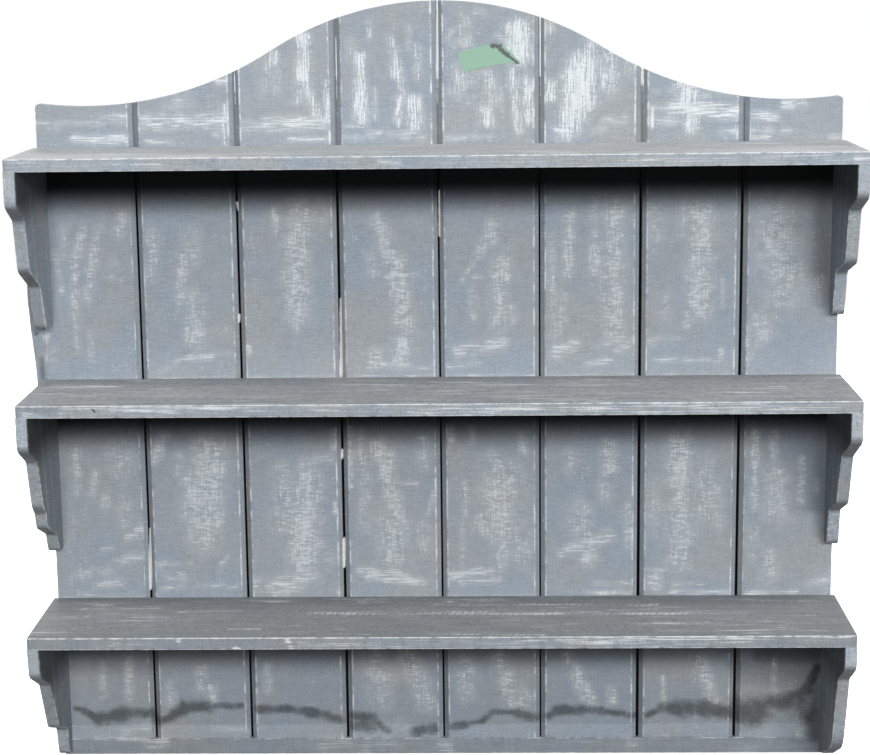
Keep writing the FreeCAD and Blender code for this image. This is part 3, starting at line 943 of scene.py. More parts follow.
DAMP_LINE = Pulls(
    Mark.DAMP,
    (
        (76, 709, 84, 710, 3, 0.9), (84, 711, 100, 719, 5, 1.0), (100, 719, 114, 717, 8, 0.95),
        (114, 716, 124, 714, 9, 1.0), (124, 713, 148, 713, 6, 0.95), (152, 712, 158, 722, 6, 0.9),
        (160, 721, 174, 715, 5, 0.95), (174, 714, 184, 708, 7, 1.0), (184, 707, 208, 706, 7, 1.0),
        (208, 706, 242, 706, 4, 0.8), (258, 709, 290, 709, 5, 0.95), (290, 709, 308, 711, 5, 0.95),
        (308, 712, 326, 715, 6, 1.0), (326, 716, 340, 720, 6, 0.9), (354, 716, 372, 717, 6, 0.95),
        (356, 726, 372, 727, 7, 0.8), (372, 721, 388, 730, 5, 0.8), (416, 731, 434, 729, 7, 0.85),
        (452, 727, 466, 725, 5, 0.85), (466, 724, 482, 721, 3, 0.8), (482, 721, 492, 713, 4, 0.85),
        (492, 712, 518, 712, 4, 0.95), (518, 713, 535, 717, 6, 0.85), (549, 716, 556, 711, 5, 0.9),
        (556, 710, 582, 710, 6, 1.0), (582, 710, 600, 710, 5, 0.9), (602, 712, 624, 713, 4, 0.8),
        (624, 714, 634, 716, 4, 0.7), (647, 715, 662, 709, 4, 0.9), (662, 708, 674, 707, 6, 1.0),
        (676, 708, 706, 708, 10, 1.0), (706, 709, 728, 712, 8, 1.0), (743, 712, 757, 708, 15, 1.0),
        (748, 720, 764, 712, 12, 0.8), (757, 705, 790, 701, 9, 1.0), (780, 702, 800, 697, 9, 1.0),
        (796, 697, 806, 690, 8, 1.0), (806, 688, 818, 668, 6, 1.0), (800, 704, 806, 716, 12, 0.7),
    ),
    feather=1.7,
)

# Dark smudges, two dots and a knot, with painted shade beside the brackets and under the bottom shelf.
SMUDGES_AND_SHADE = Pulls(
    Mark.GRIME,
    (
        (62, 668, 150, 670, 16, 0.3), (60, 655, 800, 655, 12, 0.35), (745, 665, 815, 668, 26, 0.5),
        (816, 660, 814, 736, 9, 0.75), (760, 656, 815, 657, 14, 0.8), (50, 190, 50, 320, 6, 0.25),
        (822, 190, 822, 300, 10, 0.35), (62, 430, 62, 540, 6, 0.2), (820, 430, 820, 530, 10, 0.3),
        (36, 333, 36.5, 334, 1.5, 1.0), (39, 527, 40, 528, 1.5, 1.0), (42, 358, 43, 378, 3, 0.7),
    ),
    feather=1.5,
)

GAP_LIGHTS = Pulls(
    Mark.GAP_LIGHT,
    (
        (235, 74, 235, 92, 1.8, 1.0), (235, 92, 235, 104, 1.8, 0.6), (336.6, 37, 336.6, 76, 1.8, 1.0),
        (336.6, 76, 336.6, 98, 1.8, 0.6), (437.3, -4, 437.3, 78, 1.8, 1.0),
        (437.3, 78, 437.3, 104, 1.8, 0.6), (540.6, 18, 540.6, 76, 1.8, 0.95),
        (540.6, 76, 540.6, 98, 1.8, 0.6), (642.8, 62, 642.8, 84, 1.8, 0.95),
        (642.8, 84, 642.8, 104, 1.8, 0.6), (341, 300, 341, 378, 2.5, 1.0), (440, 192, 440, 236, 2.5, 1.0),
        (150, 530, 150, 590, 2.5, 1.0), (342, 451, 342, 459, 2.5, 0.9), (344, 540, 344, 568, 2.5, 0.9),
        (237, 203, 238, 210, 2.5, 0.8), (238, 316, 238, 322, 2.5, 0.9),
    ),
    feather=1.5,
)


@dataclass(frozen=True)
class Bay:
    """How the paint under one shelf darkens, as painted shade.

    The painted shade goes from head_tone at the shelf to foot_tone at the bay's foot. The painted shadow
    begins at painted_shadow_start over the shelf's underside, is full down to painted_shadow_full below
    it, and gone at painted_shadow_end.
    """

    level: Level
    head_tone: float
    foot_tone: float
    soot: float
    painted_shadow_full: float
    painted_shadow_end: float
    height: float
    painted_shadow_start: float = 0.5

    def below(self, points: np.ndarray) -> np.ndarray:
        """Measure how far each point lies under the shelf.

        Args:
            points: One row for each vertex, in millimetres.

        Returns:
            The distance below the shelf's underside, in millimetres.
        """
        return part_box(f"{self.level.value}_shelf")[0].z / MM - points[:, 2]

    def tone_at(self, points: np.ndarray) -> np.ndarray:
        """Work out the painted shade of this bay.

        Args:
            points: One row for each vertex, in millimetres.

        Returns:
            The tone at each vertex, zero outside the bay.
        """
        below = self.below(points)
        left = 1 - np.clip(below / self.height, 0, 1)
        tone = self.foot_tone + (self.head_tone - self.foot_tone) * left**3
        return np.where((below > 0) & (below < self.height), tone, 0.0)

    def painted_shadow_at(self, points: np.ndarray) -> np.ndarray:
        """Work out the painted shadow under this bay's shelf.

        Args:
            points: One row for each vertex, in millimetres.

        Returns:
            The painted shadow at each vertex, zero outside the bay.
        """
        below = self.below(points)
        fade = np.clip((below - self.painted_shadow_full) / (self.painted_shadow_end - self.painted_shadow_full), 0, 1)
        smooth = 1 - fade * fade * (3 - 2 * fade)
        return np.where((below > -self.painted_shadow_start) & (below < self.height), self.soot * smooth, 0.0)


# Painted shade and painted shadow under each shelf.
BAYS = {
    bay.level: bay
    for bay in (
        Bay(Level.TOP, 0.22, 0.0, 0.98, 24.0, 64.0, 233.0),
        Bay(Level.MIDDLE, 0.42, 0.02, 0.96, 26.0, 71.0, 229.0),
        Bay(Level.BOTTOM, 0.52, 0.18, 0.80, 36.0, 77.0, 125.0),
    )
}


@dataclass
class DressedPiece(ABC):
    """A CAD piece's own shape, made dense, worn at its arrises and painted by listed marks.

    Its grid is fine enough to carry the marks. A vertex within the skin of a face counts as on it.
    """

    node: str
    materials: list[bpy.types.Material]
    slot: str = "painted_matchboard"
    grid: float = 2.5
    wear: float = 0.7
    wear_segments: int = 2
    arris_reach: float = 1.5
    skin: float = 1.0
    long_enough: float = 2.5
    sharp: float = math.radians(20)
    flat_within: float = math.radians(0.5)
    arrises: list[tuple[np.ndarray, np.ndarray, float]] = field(default_factory=list)

    @abstractmethod
    def load_of(self, edge: bmesh.types.BMEdge) -> float:
        """Say how much white an arris holds.

        Args:
            edge: An edge of the merged shape.

        Returns:
            The load from zero to one, zero where it isn't worn.
        """

    @abstractmethod
    def marks(self, points: np.ndarray, normals: np.ndarray) -> dict[Mark, np.ndarray]:
        """Place the listed marks.

        Args:
            points: One row for each vertex, in millimetres.
            normals: The vertices' normals.

        Returns:
            The load of each mark at each vertex.
        """

    def carries_marks(self, face: bmesh.types.BMFace) -> bool:
        """Whether a face needs the fine grid."""
        return True

    def material_of(self, face: bmesh.types.BMFace) -> int:
        """The material slot of a face: the first, unless the piece has other faces."""
        return 0

    def shape(self) -> bmesh.types.BMesh:
        """Copy the CAD mesh.

        Returns:
            The merged copy, its flat faces whole again.
        """
        shape = bmesh.new()
        shape.from_mesh(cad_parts[self.node].data)
        bmesh.ops.remove_doubles(shape, verts=shape.verts, dist=MERGE_WITHIN * MM)
        bmesh.ops.dissolve_limit(
            shape,
            angle_limit=self.flat_within,
            verts=shape.verts,
            edges=shape.edges,
            use_dissolve_boundaries=False,
        )
        return shape

    def wear_arrises(self, shape: bmesh.types.BMesh) -> None:
        """Round the worn arrises and remember where they ran.

        Args:
            shape: The merged shape.
        """
        worn = []
        for edge in shape.edges:
            if not edge.is_manifold or not edge.is_convex or edge.calc_face_angle() < self.sharp:
                continue
            load = self.load_of(edge)
            if load > 0:
                worn.append(edge)
                start, end = (np.array(vert.co) / MM for vert in edge.verts)
                self.arrises.append((start, end, load))
        bmesh.ops.bevel(
            shape,
            geom=worn,
            offset=self.wear * MM,
            offset_type="OFFSET",
            segments=self.wear_segments,
            profile=0.5,
            affect="EDGES",
            material=-1,
            clamp_overlap=True,
        )

    def cuts(self, shape: bmesh.types.BMesh) -> dict[int, list[float]]:
        """Choose the planes that divide the piece.

        Args:
            shape: The worn shape.

        Returns:
            For each axis, the places of its planes in millimetres.
        """
        planes = {}
        for axis, (low, high) in enumerate(zip(*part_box(self.node))):
            count = int((high - low) / MM / self.grid)
            low, high = low / MM, high / MM
            planes[axis] = [low + self.grid * (step + 0.5) for step in range(count)]
            planes[axis] += [low + self.arris_reach, high - self.arris_reach]
        return planes

    def divide(self, shape: bmesh.types.BMesh) -> None:
        """Cut the faces into a grid fine enough to carry the brush marks, the longest axis first.

        Args:
            shape: The worn shape.
        """
        for axis, places in sorted(self.cuts(shape).items(), key=lambda plane: -len(plane[1])):
            faces = [face for face in shape.faces if self.carries_marks(face)]
            self.split(shape, faces, axis, sorted(places))

    def split(
        self, shape: bmesh.types.BMesh, faces: list[bmesh.types.BMFace], axis: int, places: list[float]
    ) -> None:
        """Cut faces at the middle place, then each half at its own places.

        Args:
            shape: The worn shape.
            faces: The faces to cut.
            axis: Across which axis they are cut.
            places: Where, in millimetres and in rising order.
        """
        if not places or not faces:
            return
        middle = len(places) // 2
        normal = Vector([1.0 if index == axis else 0.0 for index in range(3)])
        edges = {edge for face in faces for edge in face.edges}
        verts = {vert for face in faces for vert in face.verts}
        cut = bmesh.ops.bisect_plane(
            shape,
            geom=[*faces, *edges, *verts],
            dist=CUT_WITHIN * MM,
            plane_co=normal * places[middle] * MM,
            plane_no=normal,
        )
        pieces = [item for item in cut["geom"] if isinstance(item, bmesh.types.BMFace)]
        below = [face for face in pieces if face.calc_center_median()[axis] < places[middle] * MM]
        kept = set(below)
        above = [face for face in pieces if face not in kept]
        self.split(shape, below, axis, places[:middle])
        self.split(shape, above, axis, places[middle + 1 :])

    def arris_load(self, points: np.ndarray) -> np.ndarray:
        """Work out how near each vertex is to a worn arris.

        Args:
            points: One row for each vertex, in millimetres.

        Returns:
            The load from zero to one.
        """
        load = np.zeros(len(points))
        for start, end, strength in self.arrises:
            run = end - start
            travel = np.clip((points - start) @ run / max(float(run @ run), LEAST_SQUARE), 0, 1)
            away = np.linalg.norm(points - start - travel[:, None] * run, axis=1)
            held = (self.arris_reach - away) / (self.arris_reach - self.wear)
            load = np.maximum(load, strength * np.clip(held, 0, 1))
        return load

    def build(self) -> None:
        """Make the piece, paint it and put it in the CAD piece's place."""
        shape = self.shape()
        self.wear_arrises(shape)
        self.divide(shape)
        for face in shape.faces:
            face.material_index = self.material_of(face)
            face.smooth = False
        piece = into_scene(shape, f"{self.node}_painted", self.materials)
        points = read_rows(piece.data.vertices, "co") / MM
        loads = self.marks(points, read_rows(piece.data.vertex_normals, "vector"))
        loads[Mark.ARRIS] = self.arris_load(points)
        for mark in Mark:
            write_load(piece.data, mark, loads.get(mark, np.zeros(len(points))))
        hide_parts(self.node)
        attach(piece, "root")
        LOG.info("%s: %d faces", piece.name, len(piece.data.polygons))


@dataclass
class BackBoard(DressedPiece):
    """One upright matchboard: painted face and edges, bare back."""

    joint_load: float = 0.66
    arch_load: float = 0.3
    face_depth: float = 0.9
    chamfer_from: float = 0.7
    chamfer_depth: float = 3.5
    past_chamfer: float = 0.2
    chamfer_share: float = 0.3
    # Painted shade on the chamfers: the first for those facing left, away from the light, the second for
    # those facing right.
    chamfer_tones: tuple[float, float] = (0.3, 0.14)
    # Painted shade, black, deep in each joint, less in the arch.
    black_edge: float = 1.0
    black_share: float = 0.7
    arch_crevice: float = 0.55
    arch_tone: float = 0.18

    def load_of(self, edge: bmesh.types.BMEdge) -> float:
        """The front arrises are worn: those of the chamfers most, the sawn arch least.

        Args:
            edge: An edge of the merged shape.

        Returns:
            The load from zero to one.
        """
        front = any(face.normal.y < -SQUARE for face in edge.link_faces)
        on_face = all(vert.co.y / MM < BOARD_FACE + ON_PLANE for vert in edge.verts)
        if not front or not on_face or edge.calc_length() < self.long_enough * MM:
            return 0.0
        upright = abs(edge.verts[0].co.x - edge.verts[1].co.x) < ON_PLANE * MM
        return self.joint_load if upright else self.arch_load

    def cuts(self, shape: bmesh.types.BMesh) -> dict[int, list[float]]:
        """As for any piece, with planes beside the chamfers' arrises and beside the slots.

        Args:
            shape: The worn shape.

        Returns:
            For each axis, the places of its planes in millimetres.
        """
        planes = super().cuts(shape)
        for start, end, _ in self.arrises:
            if abs(start[0] - end[0]) < ON_PLANE:
                planes[0] += [start[0] - self.arris_reach, start[0] + self.arris_reach]
        slots = {
            round(vert.co.x / MM, 2)
            for vert in shape.verts
            if abs(vert.co.y / MM - BOARD_FACE - self.chamfer_depth) < ON_PLANE / 2
        }
        for place in slots:
            planes[0] += [place - self.black_edge, place + self.black_edge]
        return planes | {1: []}

    def carries_marks(self, face: bmesh.types.BMFace) -> bool:
        """The front faces, the chamfers and what shows between them."""
        return face.normal.y < -LITTLE_TURNED

    def material_of(self, face: bmesh.types.BMFace) -> int:
        """The back and the joint's hidden faces are bare."""
        return 1 if face.normal.y > HALF_TURNED else 0

    def marks(self, points: np.ndarray, normals: np.ndarray) -> dict[Mark, np.ndarray]:
        """Brush pulls on the flat face, black painted shade in the joint, painted shade and painted shadow
        under the shelves.

        Args:
            points: One row for each vertex, in millimetres.
            normals: The vertices' normals.

        Returns:
            The load of each mark at each vertex.
        """
        depth = points[:, 1] - BOARD_FACE
        in_arch = BAYS[Level.TOP].below(points) < 0
        on_slope = np.where(depth < self.chamfer_depth + self.past_chamfer, self.chamfer_share, 0.0)
        flat = np.where(depth < self.face_depth, 1.0, on_slope)
        found = {pulls.mark: pulls.lay(points) * flat for pulls in BOARD_PULLS}
        found[Mark.DAMP] = DAMP_LINE.lay(points)
        # Painted shade in each bay, darkest under its shelf.
        tone = np.where(in_arch, self.arch_tone, sum(bay.tone_at(points) for bay in BAYS.values()))
        # Painted shade on the chamfers, darker where they face left, away from the light.
        sloped = np.where(normals[:, 0] < 0, *self.chamfer_tones)
        on_chamfer = np.where(depth > self.chamfer_from, sloped, 0)
        found[Mark.GRIME] = np.clip(np.maximum(SMUDGES_AND_SHADE.lay(points), tone) + on_chamfer, 0, 1)
        # Painted shadow under each shelf.
        found[Mark.SOOT] = sum(bay.painted_shadow_at(points) for bay in BAYS.values())
        # Painted shade, black, deep in the joint, less in the arch.
        black_from = self.chamfer_depth - self.black_edge * self.black_share
        black = np.clip((depth - black_from) / (self.chamfer_depth - black_from), 0, 1)
        found[Mark.CREVICE] = black * np.where(in_arch, self.arch_crevice, 1.0)
        found[Mark.GAP_LIGHT] = np.where(depth > black_from - ON_PLANE, GAP_LIGHTS.lay(points), 0.0)
        return found


def saw_ticks(start: float, end: float, row: float) -> tuple[Row, ...]:
    """A row of slanting marks left by a coarse saw.

    Args:
        start: The column of the first mark.
        end: The column that the marks run up to.
        row: The row of their middles.

    Returns:
        One pull for each mark.
    """
    step, length, slant, half, load = 6.5, 3.0, 1.2, 1.6, 0.62
    columns = [start + step * index for index in range(int((end - start) / step))]
    return tuple((column, row + slant, column + length, row - slant, half, load) for column in columns)


FRONT_PULLS = {
    Level.TOP: (
        (20, 165, 90, 166, 4, 0.45), (90, 163, 160, 164, 3, 0.4), (380, 162, 400, 162, 2, 0.8),
        (440, 161, 560, 161, 3, 0.4), (620, 161, 700, 160, 3, 0.5), (700, 160, 860, 157, 4, 0.45),
        (856, 158, 866, 160, 4, 0.8),
    ),
    Level.MIDDLE: (
        (24, 416, 42, 419, 2.5, 0.8), (60, 413, 110, 411, 3, 0.6), (110, 410, 215, 410, 3.5, 0.75),
        (215, 409, 300, 409, 3, 0.65), (300, 409, 410, 409, 3, 0.5), (410, 411, 540, 410, 3.5, 0.85),
        (540, 408, 640, 409, 3, 0.7), (640, 408, 760, 407, 4, 0.75), (760, 409, 862, 408, 3, 0.55),
    ),
    Level.BOTTOM: (
        (95, 645, 150, 645, 3, 0.4), (287, 640, 292, 650, 2, 1.0), (178, 640, 179, 642, 2, 1.0),
        (300, 644, 420, 645, 3.5, 0.5), (420, 643, 560, 643, 3, 0.55), (560, 640, 640, 640, 3.5, 0.8),
        (640, 640, 750, 637, 4.5, 0.9), (750, 636, 850, 636, 3, 0.6), (235, 649, 238, 650, 2, 1.0),
    ),
}

FRONT_CHIPS = {Level.MIDDLE: ((92.5, 409.5, 95.0, 412.0, 1.0, 1.0),)}

TOP_PULLS = {
    Level.TOP: (
        (50, 155, 140, 154, 3, 0.3), (300, 152, 420, 150, 3, 0.25), (520, 150, 640, 149, 3, 0.3),
        (700, 146, 830, 146, 4, 0.3),
    ),
    Level.MIDDLE: (
        (50, 388, 120, 386, 4, 0.5), (60, 396, 200, 396, 3, 0.35), (180, 394, 300, 396, 3, 0.4),
        (300, 392, 390, 390, 3, 0.35), (430, 382, 470, 382, 2, 0.5), (480, 394, 640, 393, 3, 0.3),
        (640, 396, 820, 396, 3, 0.35),
    ),
    Level.BOTTOM: (
        (85, 609, 160, 608, 4, 0.45), (175, 602, 290, 601, 2, 0.5), (60, 618, 110, 616, 4, 0.4),
        (180, 612, 240, 611, 2.5, 0.3), (290, 632, 345, 629, 2, 0.45), (230, 629, 260, 629, 2, 0.35),
        (640, 624, 720, 623, 3, 0.4), (800, 601, 815, 601, 3, 0.3), (360, 602, 385, 602, 2, 0.5),
        (430, 603, 450, 602, 3, 0.5),
        *saw_ticks(308, 754, 613),
        *saw_ticks(434, 665, 605),
        *saw_ticks(425, 553, 634),
        *saw_ticks(645, 715, 623),
    ),
}


@dataclass
class Shelf(DressedPiece):
    """One shelf: a plank with worn front arrises, brushed along its length."""

    slot: str = "painted_shelf"
    level: Level = Level.TOP
    # Painted shade on the top, on the front, and more on the underside, back and ends.
    top_tone: float = 0.1
    front_tone: float = 0.1
    under_tone: float = 0.4
    front_share: float = 0.85
    front_load: float = 0.82
    end_load: float = 0.4
    front_depth: float = 3.2
    shortest_end: float = 10.0

    def load_of(self, edge: bmesh.types.BMEdge) -> float:
        """The front arrises are worn white, the end ones less.

        Args:
            edge: An edge of the merged shape.

        Returns:
            The load from zero to one.
        """
        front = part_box(self.node)[0].y / MM
        ahead = all(vert.co.y / MM < front + self.front_depth for vert in edge.verts)
        level = abs(edge.verts[0].co.z - edge.verts[1].co.z) < ON_PLANE * MM
        if ahead and level:
            return self.front_load
        return self.end_load if ahead or edge.calc_length() > self.shortest_end * MM else 0.0

    def carries_marks(self, face: bmesh.types.BMFace) -> bool:
        """All but the underside."""
        return face.normal.z > -HALF_TURNED

    def material_of(self, face: bmesh.types.BMFace) -> int:
        """The top is greyer than the front and the ends."""
        return 1 if face.normal.z > NEARLY_SQUARE else 0

    def marks(self, points: np.ndarray, normals: np.ndarray) -> dict[Mark, np.ndarray]:
        """Pulls along the front edge and over the top, and painted shade: darker on the lower levels, and
        more on the underside, back and ends.

        Args:
            points: One row for each vertex, in millimetres.
            normals: The vertices' normals.

        Returns:
            The load of each mark at each vertex.
        """
        low, high = (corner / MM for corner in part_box(self.node))
        ahead = points[:, 1] < low.y + self.skin
        above = points[:, 2] > high.z - self.skin
        front = DryPulls(Mark.ACROSS, FRONT_PULLS[self.level], Facing.FRONT, low.y).lay(points)
        top = DryPulls(Mark.ACROSS, TOP_PULLS[self.level], Facing.TOP, high.z).lay(points)
        chips = Pulls(Mark.CREVICE, FRONT_CHIPS.get(self.level, ()), Facing.FRONT, low.y).lay(points)
        # Painted shade: the level's own on the top and front, more on the underside, back and ends.
        off_top = np.where(ahead, self.front_tone, self.under_tone)
        return {
            Mark.ACROSS: np.maximum(np.where(ahead, front * self.front_share, 0), np.where(above, top, 0)),
            Mark.GRIME: np.where(above & ~ahead, self.top_tone, off_top),
            Mark.CREVICE: np.where(ahead, chips, 0),
        }


@dataclass
class Bracket(DressedPiece):
    """One scrolled bracket, its sawn outline worn along both faces.

    A streak on the inner face starts so many millimetres in from its front edge, leans back as it
    falls, and has a half width and a load. The inner face takes painted shade, and the other faces
    take painted shade as they turn down, from under_from of their normal to under_full of it.
    """

    slot: str = "painted_bracket"
    side: Side = Side.LEFT
    level: Level = Level.TOP
    inset: float = 2.2
    sawn_face: float = 30.0
    inner_load: float = 0.66
    outer_load: float = 0.45
    # Painted shade on the inner face, and painted shadow under the shelf on it.
    inner_tone: float = 0.4
    painted_shadow_share: float = 0.86
    front_tone: float = 0.08
    under_tone: float = 0.5
    under_from: float = 0.25
    under_full: float = 0.75
    front_load: float = 0.25
    streaks: tuple[tuple[float, float, float, float], ...] = (
        (50.0, 0.2, 5.0, 0.55),
        (80.0, 0.15, 3.0, 0.45),
    )

    def load_of(self, edge: bmesh.types.BMEdge) -> float:
        """Both outlines of the sawn faces are worn, the one towards the bay more.

        Args:
            edge: An edge of the merged shape.

        Returns:
            The load from zero to one.
        """
        sides = [face.normal.x for face in edge.link_faces if abs(face.normal.x) > NEARLY_SQUARE]
        hidden = all(vert.co.y / MM > BOARD_FACE - ON_PLANE for vert in edge.verts)
        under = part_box(f"{self.level.value}_shelf")[0].z
        seated = all(vert.co.z > under - ON_PLANE * MM for vert in edge.verts)
        if not sides or hidden or seated:
            return 0.0
        return self.inner_load if sides[0] * self.side < 0 else self.outer_load

    def divide(self, shape: bmesh.types.BMesh) -> None:
        """Inset both sawn faces so that their outline holds the wear, then cut the grid.

        Args:
            shape: The worn shape.
        """
        least = (self.sawn_face * MM) ** 2
        sawn = [face for face in shape.faces if abs(face.normal.x) > SQUARE and face.calc_area() > least]
        bmesh.ops.inset_individual(
            shape, faces=sawn, thickness=self.inset * MM, depth=0.0, use_even_offset=True
        )
        super().divide(shape)

    def marks(self, points: np.ndarray, normals: np.ndarray) -> dict[Mark, np.ndarray]:
        """Streaks down the inner face and front edge, painted shade on the inner face and on faces turned
        down, and painted shadow under the shelf.

        Args:
            points: One row for each vertex, in millimetres.
            normals: The vertices' normals.

        Returns:
            The load of each mark at each vertex.
        """
        low, high = (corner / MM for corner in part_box(self.node))
        inner = np.abs(points[:, 0] - (high.x if self.side is Side.LEFT else low.x)) < self.skin
        depth = points[:, 1] - low.y
        drop = high.z - points[:, 2]
        streaks = sum(
            load * np.exp(-(((depth - start - lean * drop) / half) ** 2))
            for start, lean, half, load in self.streaks
        )
        # Painted shade, more as a face turns down.
        turned = (-normals[:, 2] - self.under_from) / (self.under_full - self.under_from)
        shaded = self.front_tone + self.under_tone * np.clip(turned, 0, 1)
        return {
            Mark.UP: np.where(inner, streaks, self.front_load),
            Mark.GRIME: np.where(inner, self.inner_tone, shaded),
            Mark.SOOT: np.where(inner, BAYS[self.level].painted_shadow_at(points) * self.painted_shadow_share, 0.0),
        }


@dataclass
class Trim(DressedPiece):
    """The foot rail or the waney edge lath."""

    slot: str = "painted_trim"
    tone: float = 0.2
    worn_load: float = 0.6

    def load_of(self, edge: bmesh.types.BMEdge) -> float:
        """The front arrises are worn.

        Args:
            edge: An edge of the merged shape.

        Returns:
            The load from zero to one.
        """
        on_face = all(vert.co.y / MM < BOARD_FACE + ON_PLANE for vert in edge.verts)
        return self.worn_load if on_face and edge.calc_length() > self.long_enough * MM else 0.0

    def marks(self, points: np.ndarray, normals: np.ndarray) -> dict[Mark, np.ndarray]:
        """The same pulls as the boards beside it.

        Args:
            points: One row for each vertex, in millimetres.
            normals: The vertices' normals.

        Returns:
            The load of each mark at each vertex.
        """
        flat = np.where(points[:, 1] < BOARD_FACE + self.skin, 1.0, 0.0)
        found = {pulls.mark: pulls.lay(points) * flat for pulls in BOARD_PULLS}
        # Smudges, with painted shade beside the brackets and under the bottom shelf.
        found[Mark.GRIME] = np.maximum(SMUDGES_AND_SHADE.lay(points), self.tone)
        return found


@dataclass
class TapePiece:
    """A torn piece of green masking paper left on the fifth board."""

    corners_px: tuple[tuple[float, float], ...] = (
        (457.5, 53.0),
        (468.0, 49.5),
        (491.0, 43.5),
        (502.0, 43.5),
        (520.5, 62.0),
        (519.0, 64.5),
        (510.0, 62.5),
        (486.0, 67.0),
        (463.0, 71.5),
    )
    thickness: float = 0.25
    creases: tuple[Row, ...] = (
        (492.0, 45.5, 500.0, 46.5, 2.6, 0.8),
        (498.0, 47.0, 508.0, 55.5, 2.0, 0.85),
        (508.0, 55.5, 518.5, 63.5, 1.1, 0.85),
        (464.0, 54.0, 480.0, 56.0, 5.0, 0.37),
        (482.0, 56.0, 500.0, 61.0, 3.0, 0.34),
    )
    grid: float = 1.5
    columns: int = 42
    rows: int = 20

    def build(self, material: bpy.types.Material) -> None:
        """Make the paper on the board's face.

        Args:
            material: The paper's material.
        """
        shape = bmesh.new()
        corners = [CAMERA.cast(px, py, Facing.FRONT, BOARD_FACE) * MM for px, py in self.corners_px]
        face = shape.faces.new([shape.verts.new(corner) for corner in corners])
        grown = bmesh.ops.extrude_face_region(shape, geom=[face])
        lifted = [item for item in grown["geom"] if isinstance(item, bmesh.types.BMVert)]
        bmesh.ops.translate(shape, verts=lifted, vec=Vector((0, -self.thickness * MM, 0)))
        bmesh.ops.recalc_face_normals(shape, faces=shape.faces)
        low = Vector([min(corner[axis] for corner in corners) for axis in range(3)])
        for normal, count in ((Vector((1, 0, 0)), self.columns), (Vector((0, 0, 1)), self.rows)):
            for step in range(1, count):
                everything = shape.verts[:] + shape.edges[:] + shape.faces[:]
                place = low + normal * step * self.grid * MM
                bmesh.ops.bisect_plane(
                    shape, geom=everything, dist=CUT_WITHIN * MM, plane_co=place, plane_no=normal
                )
        piece = into_scene(shape, "paper_tape", [material])
        worn = Pulls(Mark.GRIME, self.creases)
        write_load(piece.data, worn.mark, worn.lay(read_rows(piece.data.vertices, "co") / MM))
        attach(piece, "root")
        LOG.info("%s: %d faces", piece.name, len(piece.data.polygons))


@dataclass(frozen=True)
class SoftPanel:
    """A soft light panel: its middle and size in metres, its power in watts and what it faces."""

    name: str
    place: tuple[float, float, float]
    width: float
    height: float
    power: float
    aim: tuple[float, float, float] = (0.0, 0.0, -0.25)

    def build(self) -> None:
        """Hang the panel."""
        data = bpy.data.lights.new(self.name, "AREA")
        data.shape = "RECTANGLE"
        data.size = self.width
        data.size_y = self.height
        data.energy = self.power
        panel = bpy.data.objects.new(self.name, data)
        turn = (Vector(self.aim) - Vector(self.place)).to_track_quat("-Z", "Y").to_matrix().to_4x4()
        panel.matrix_world = Matrix.Translation(self.place) @ turn
        bpy.context.scene.collection.objects.link(panel)


def seen(tree: bpy.types.NodeTree, rays: tuple[str, ...]) -> bpy.types.Node:
    """Tell the rays that see a pale ground from those that light the shelf.

    Args:
        tree: The node tree of a material or of the world.
        rays: The light path's outputs that count as seeing.

    Returns:
        The node whose output is one for those rays.
    """
    path = add(tree, "ShaderNodeLightPath")
    total = 0.0
    for ray in rays:
        total = calculate(tree, "ADD", (path, ray), total, clamp=True)
    return total


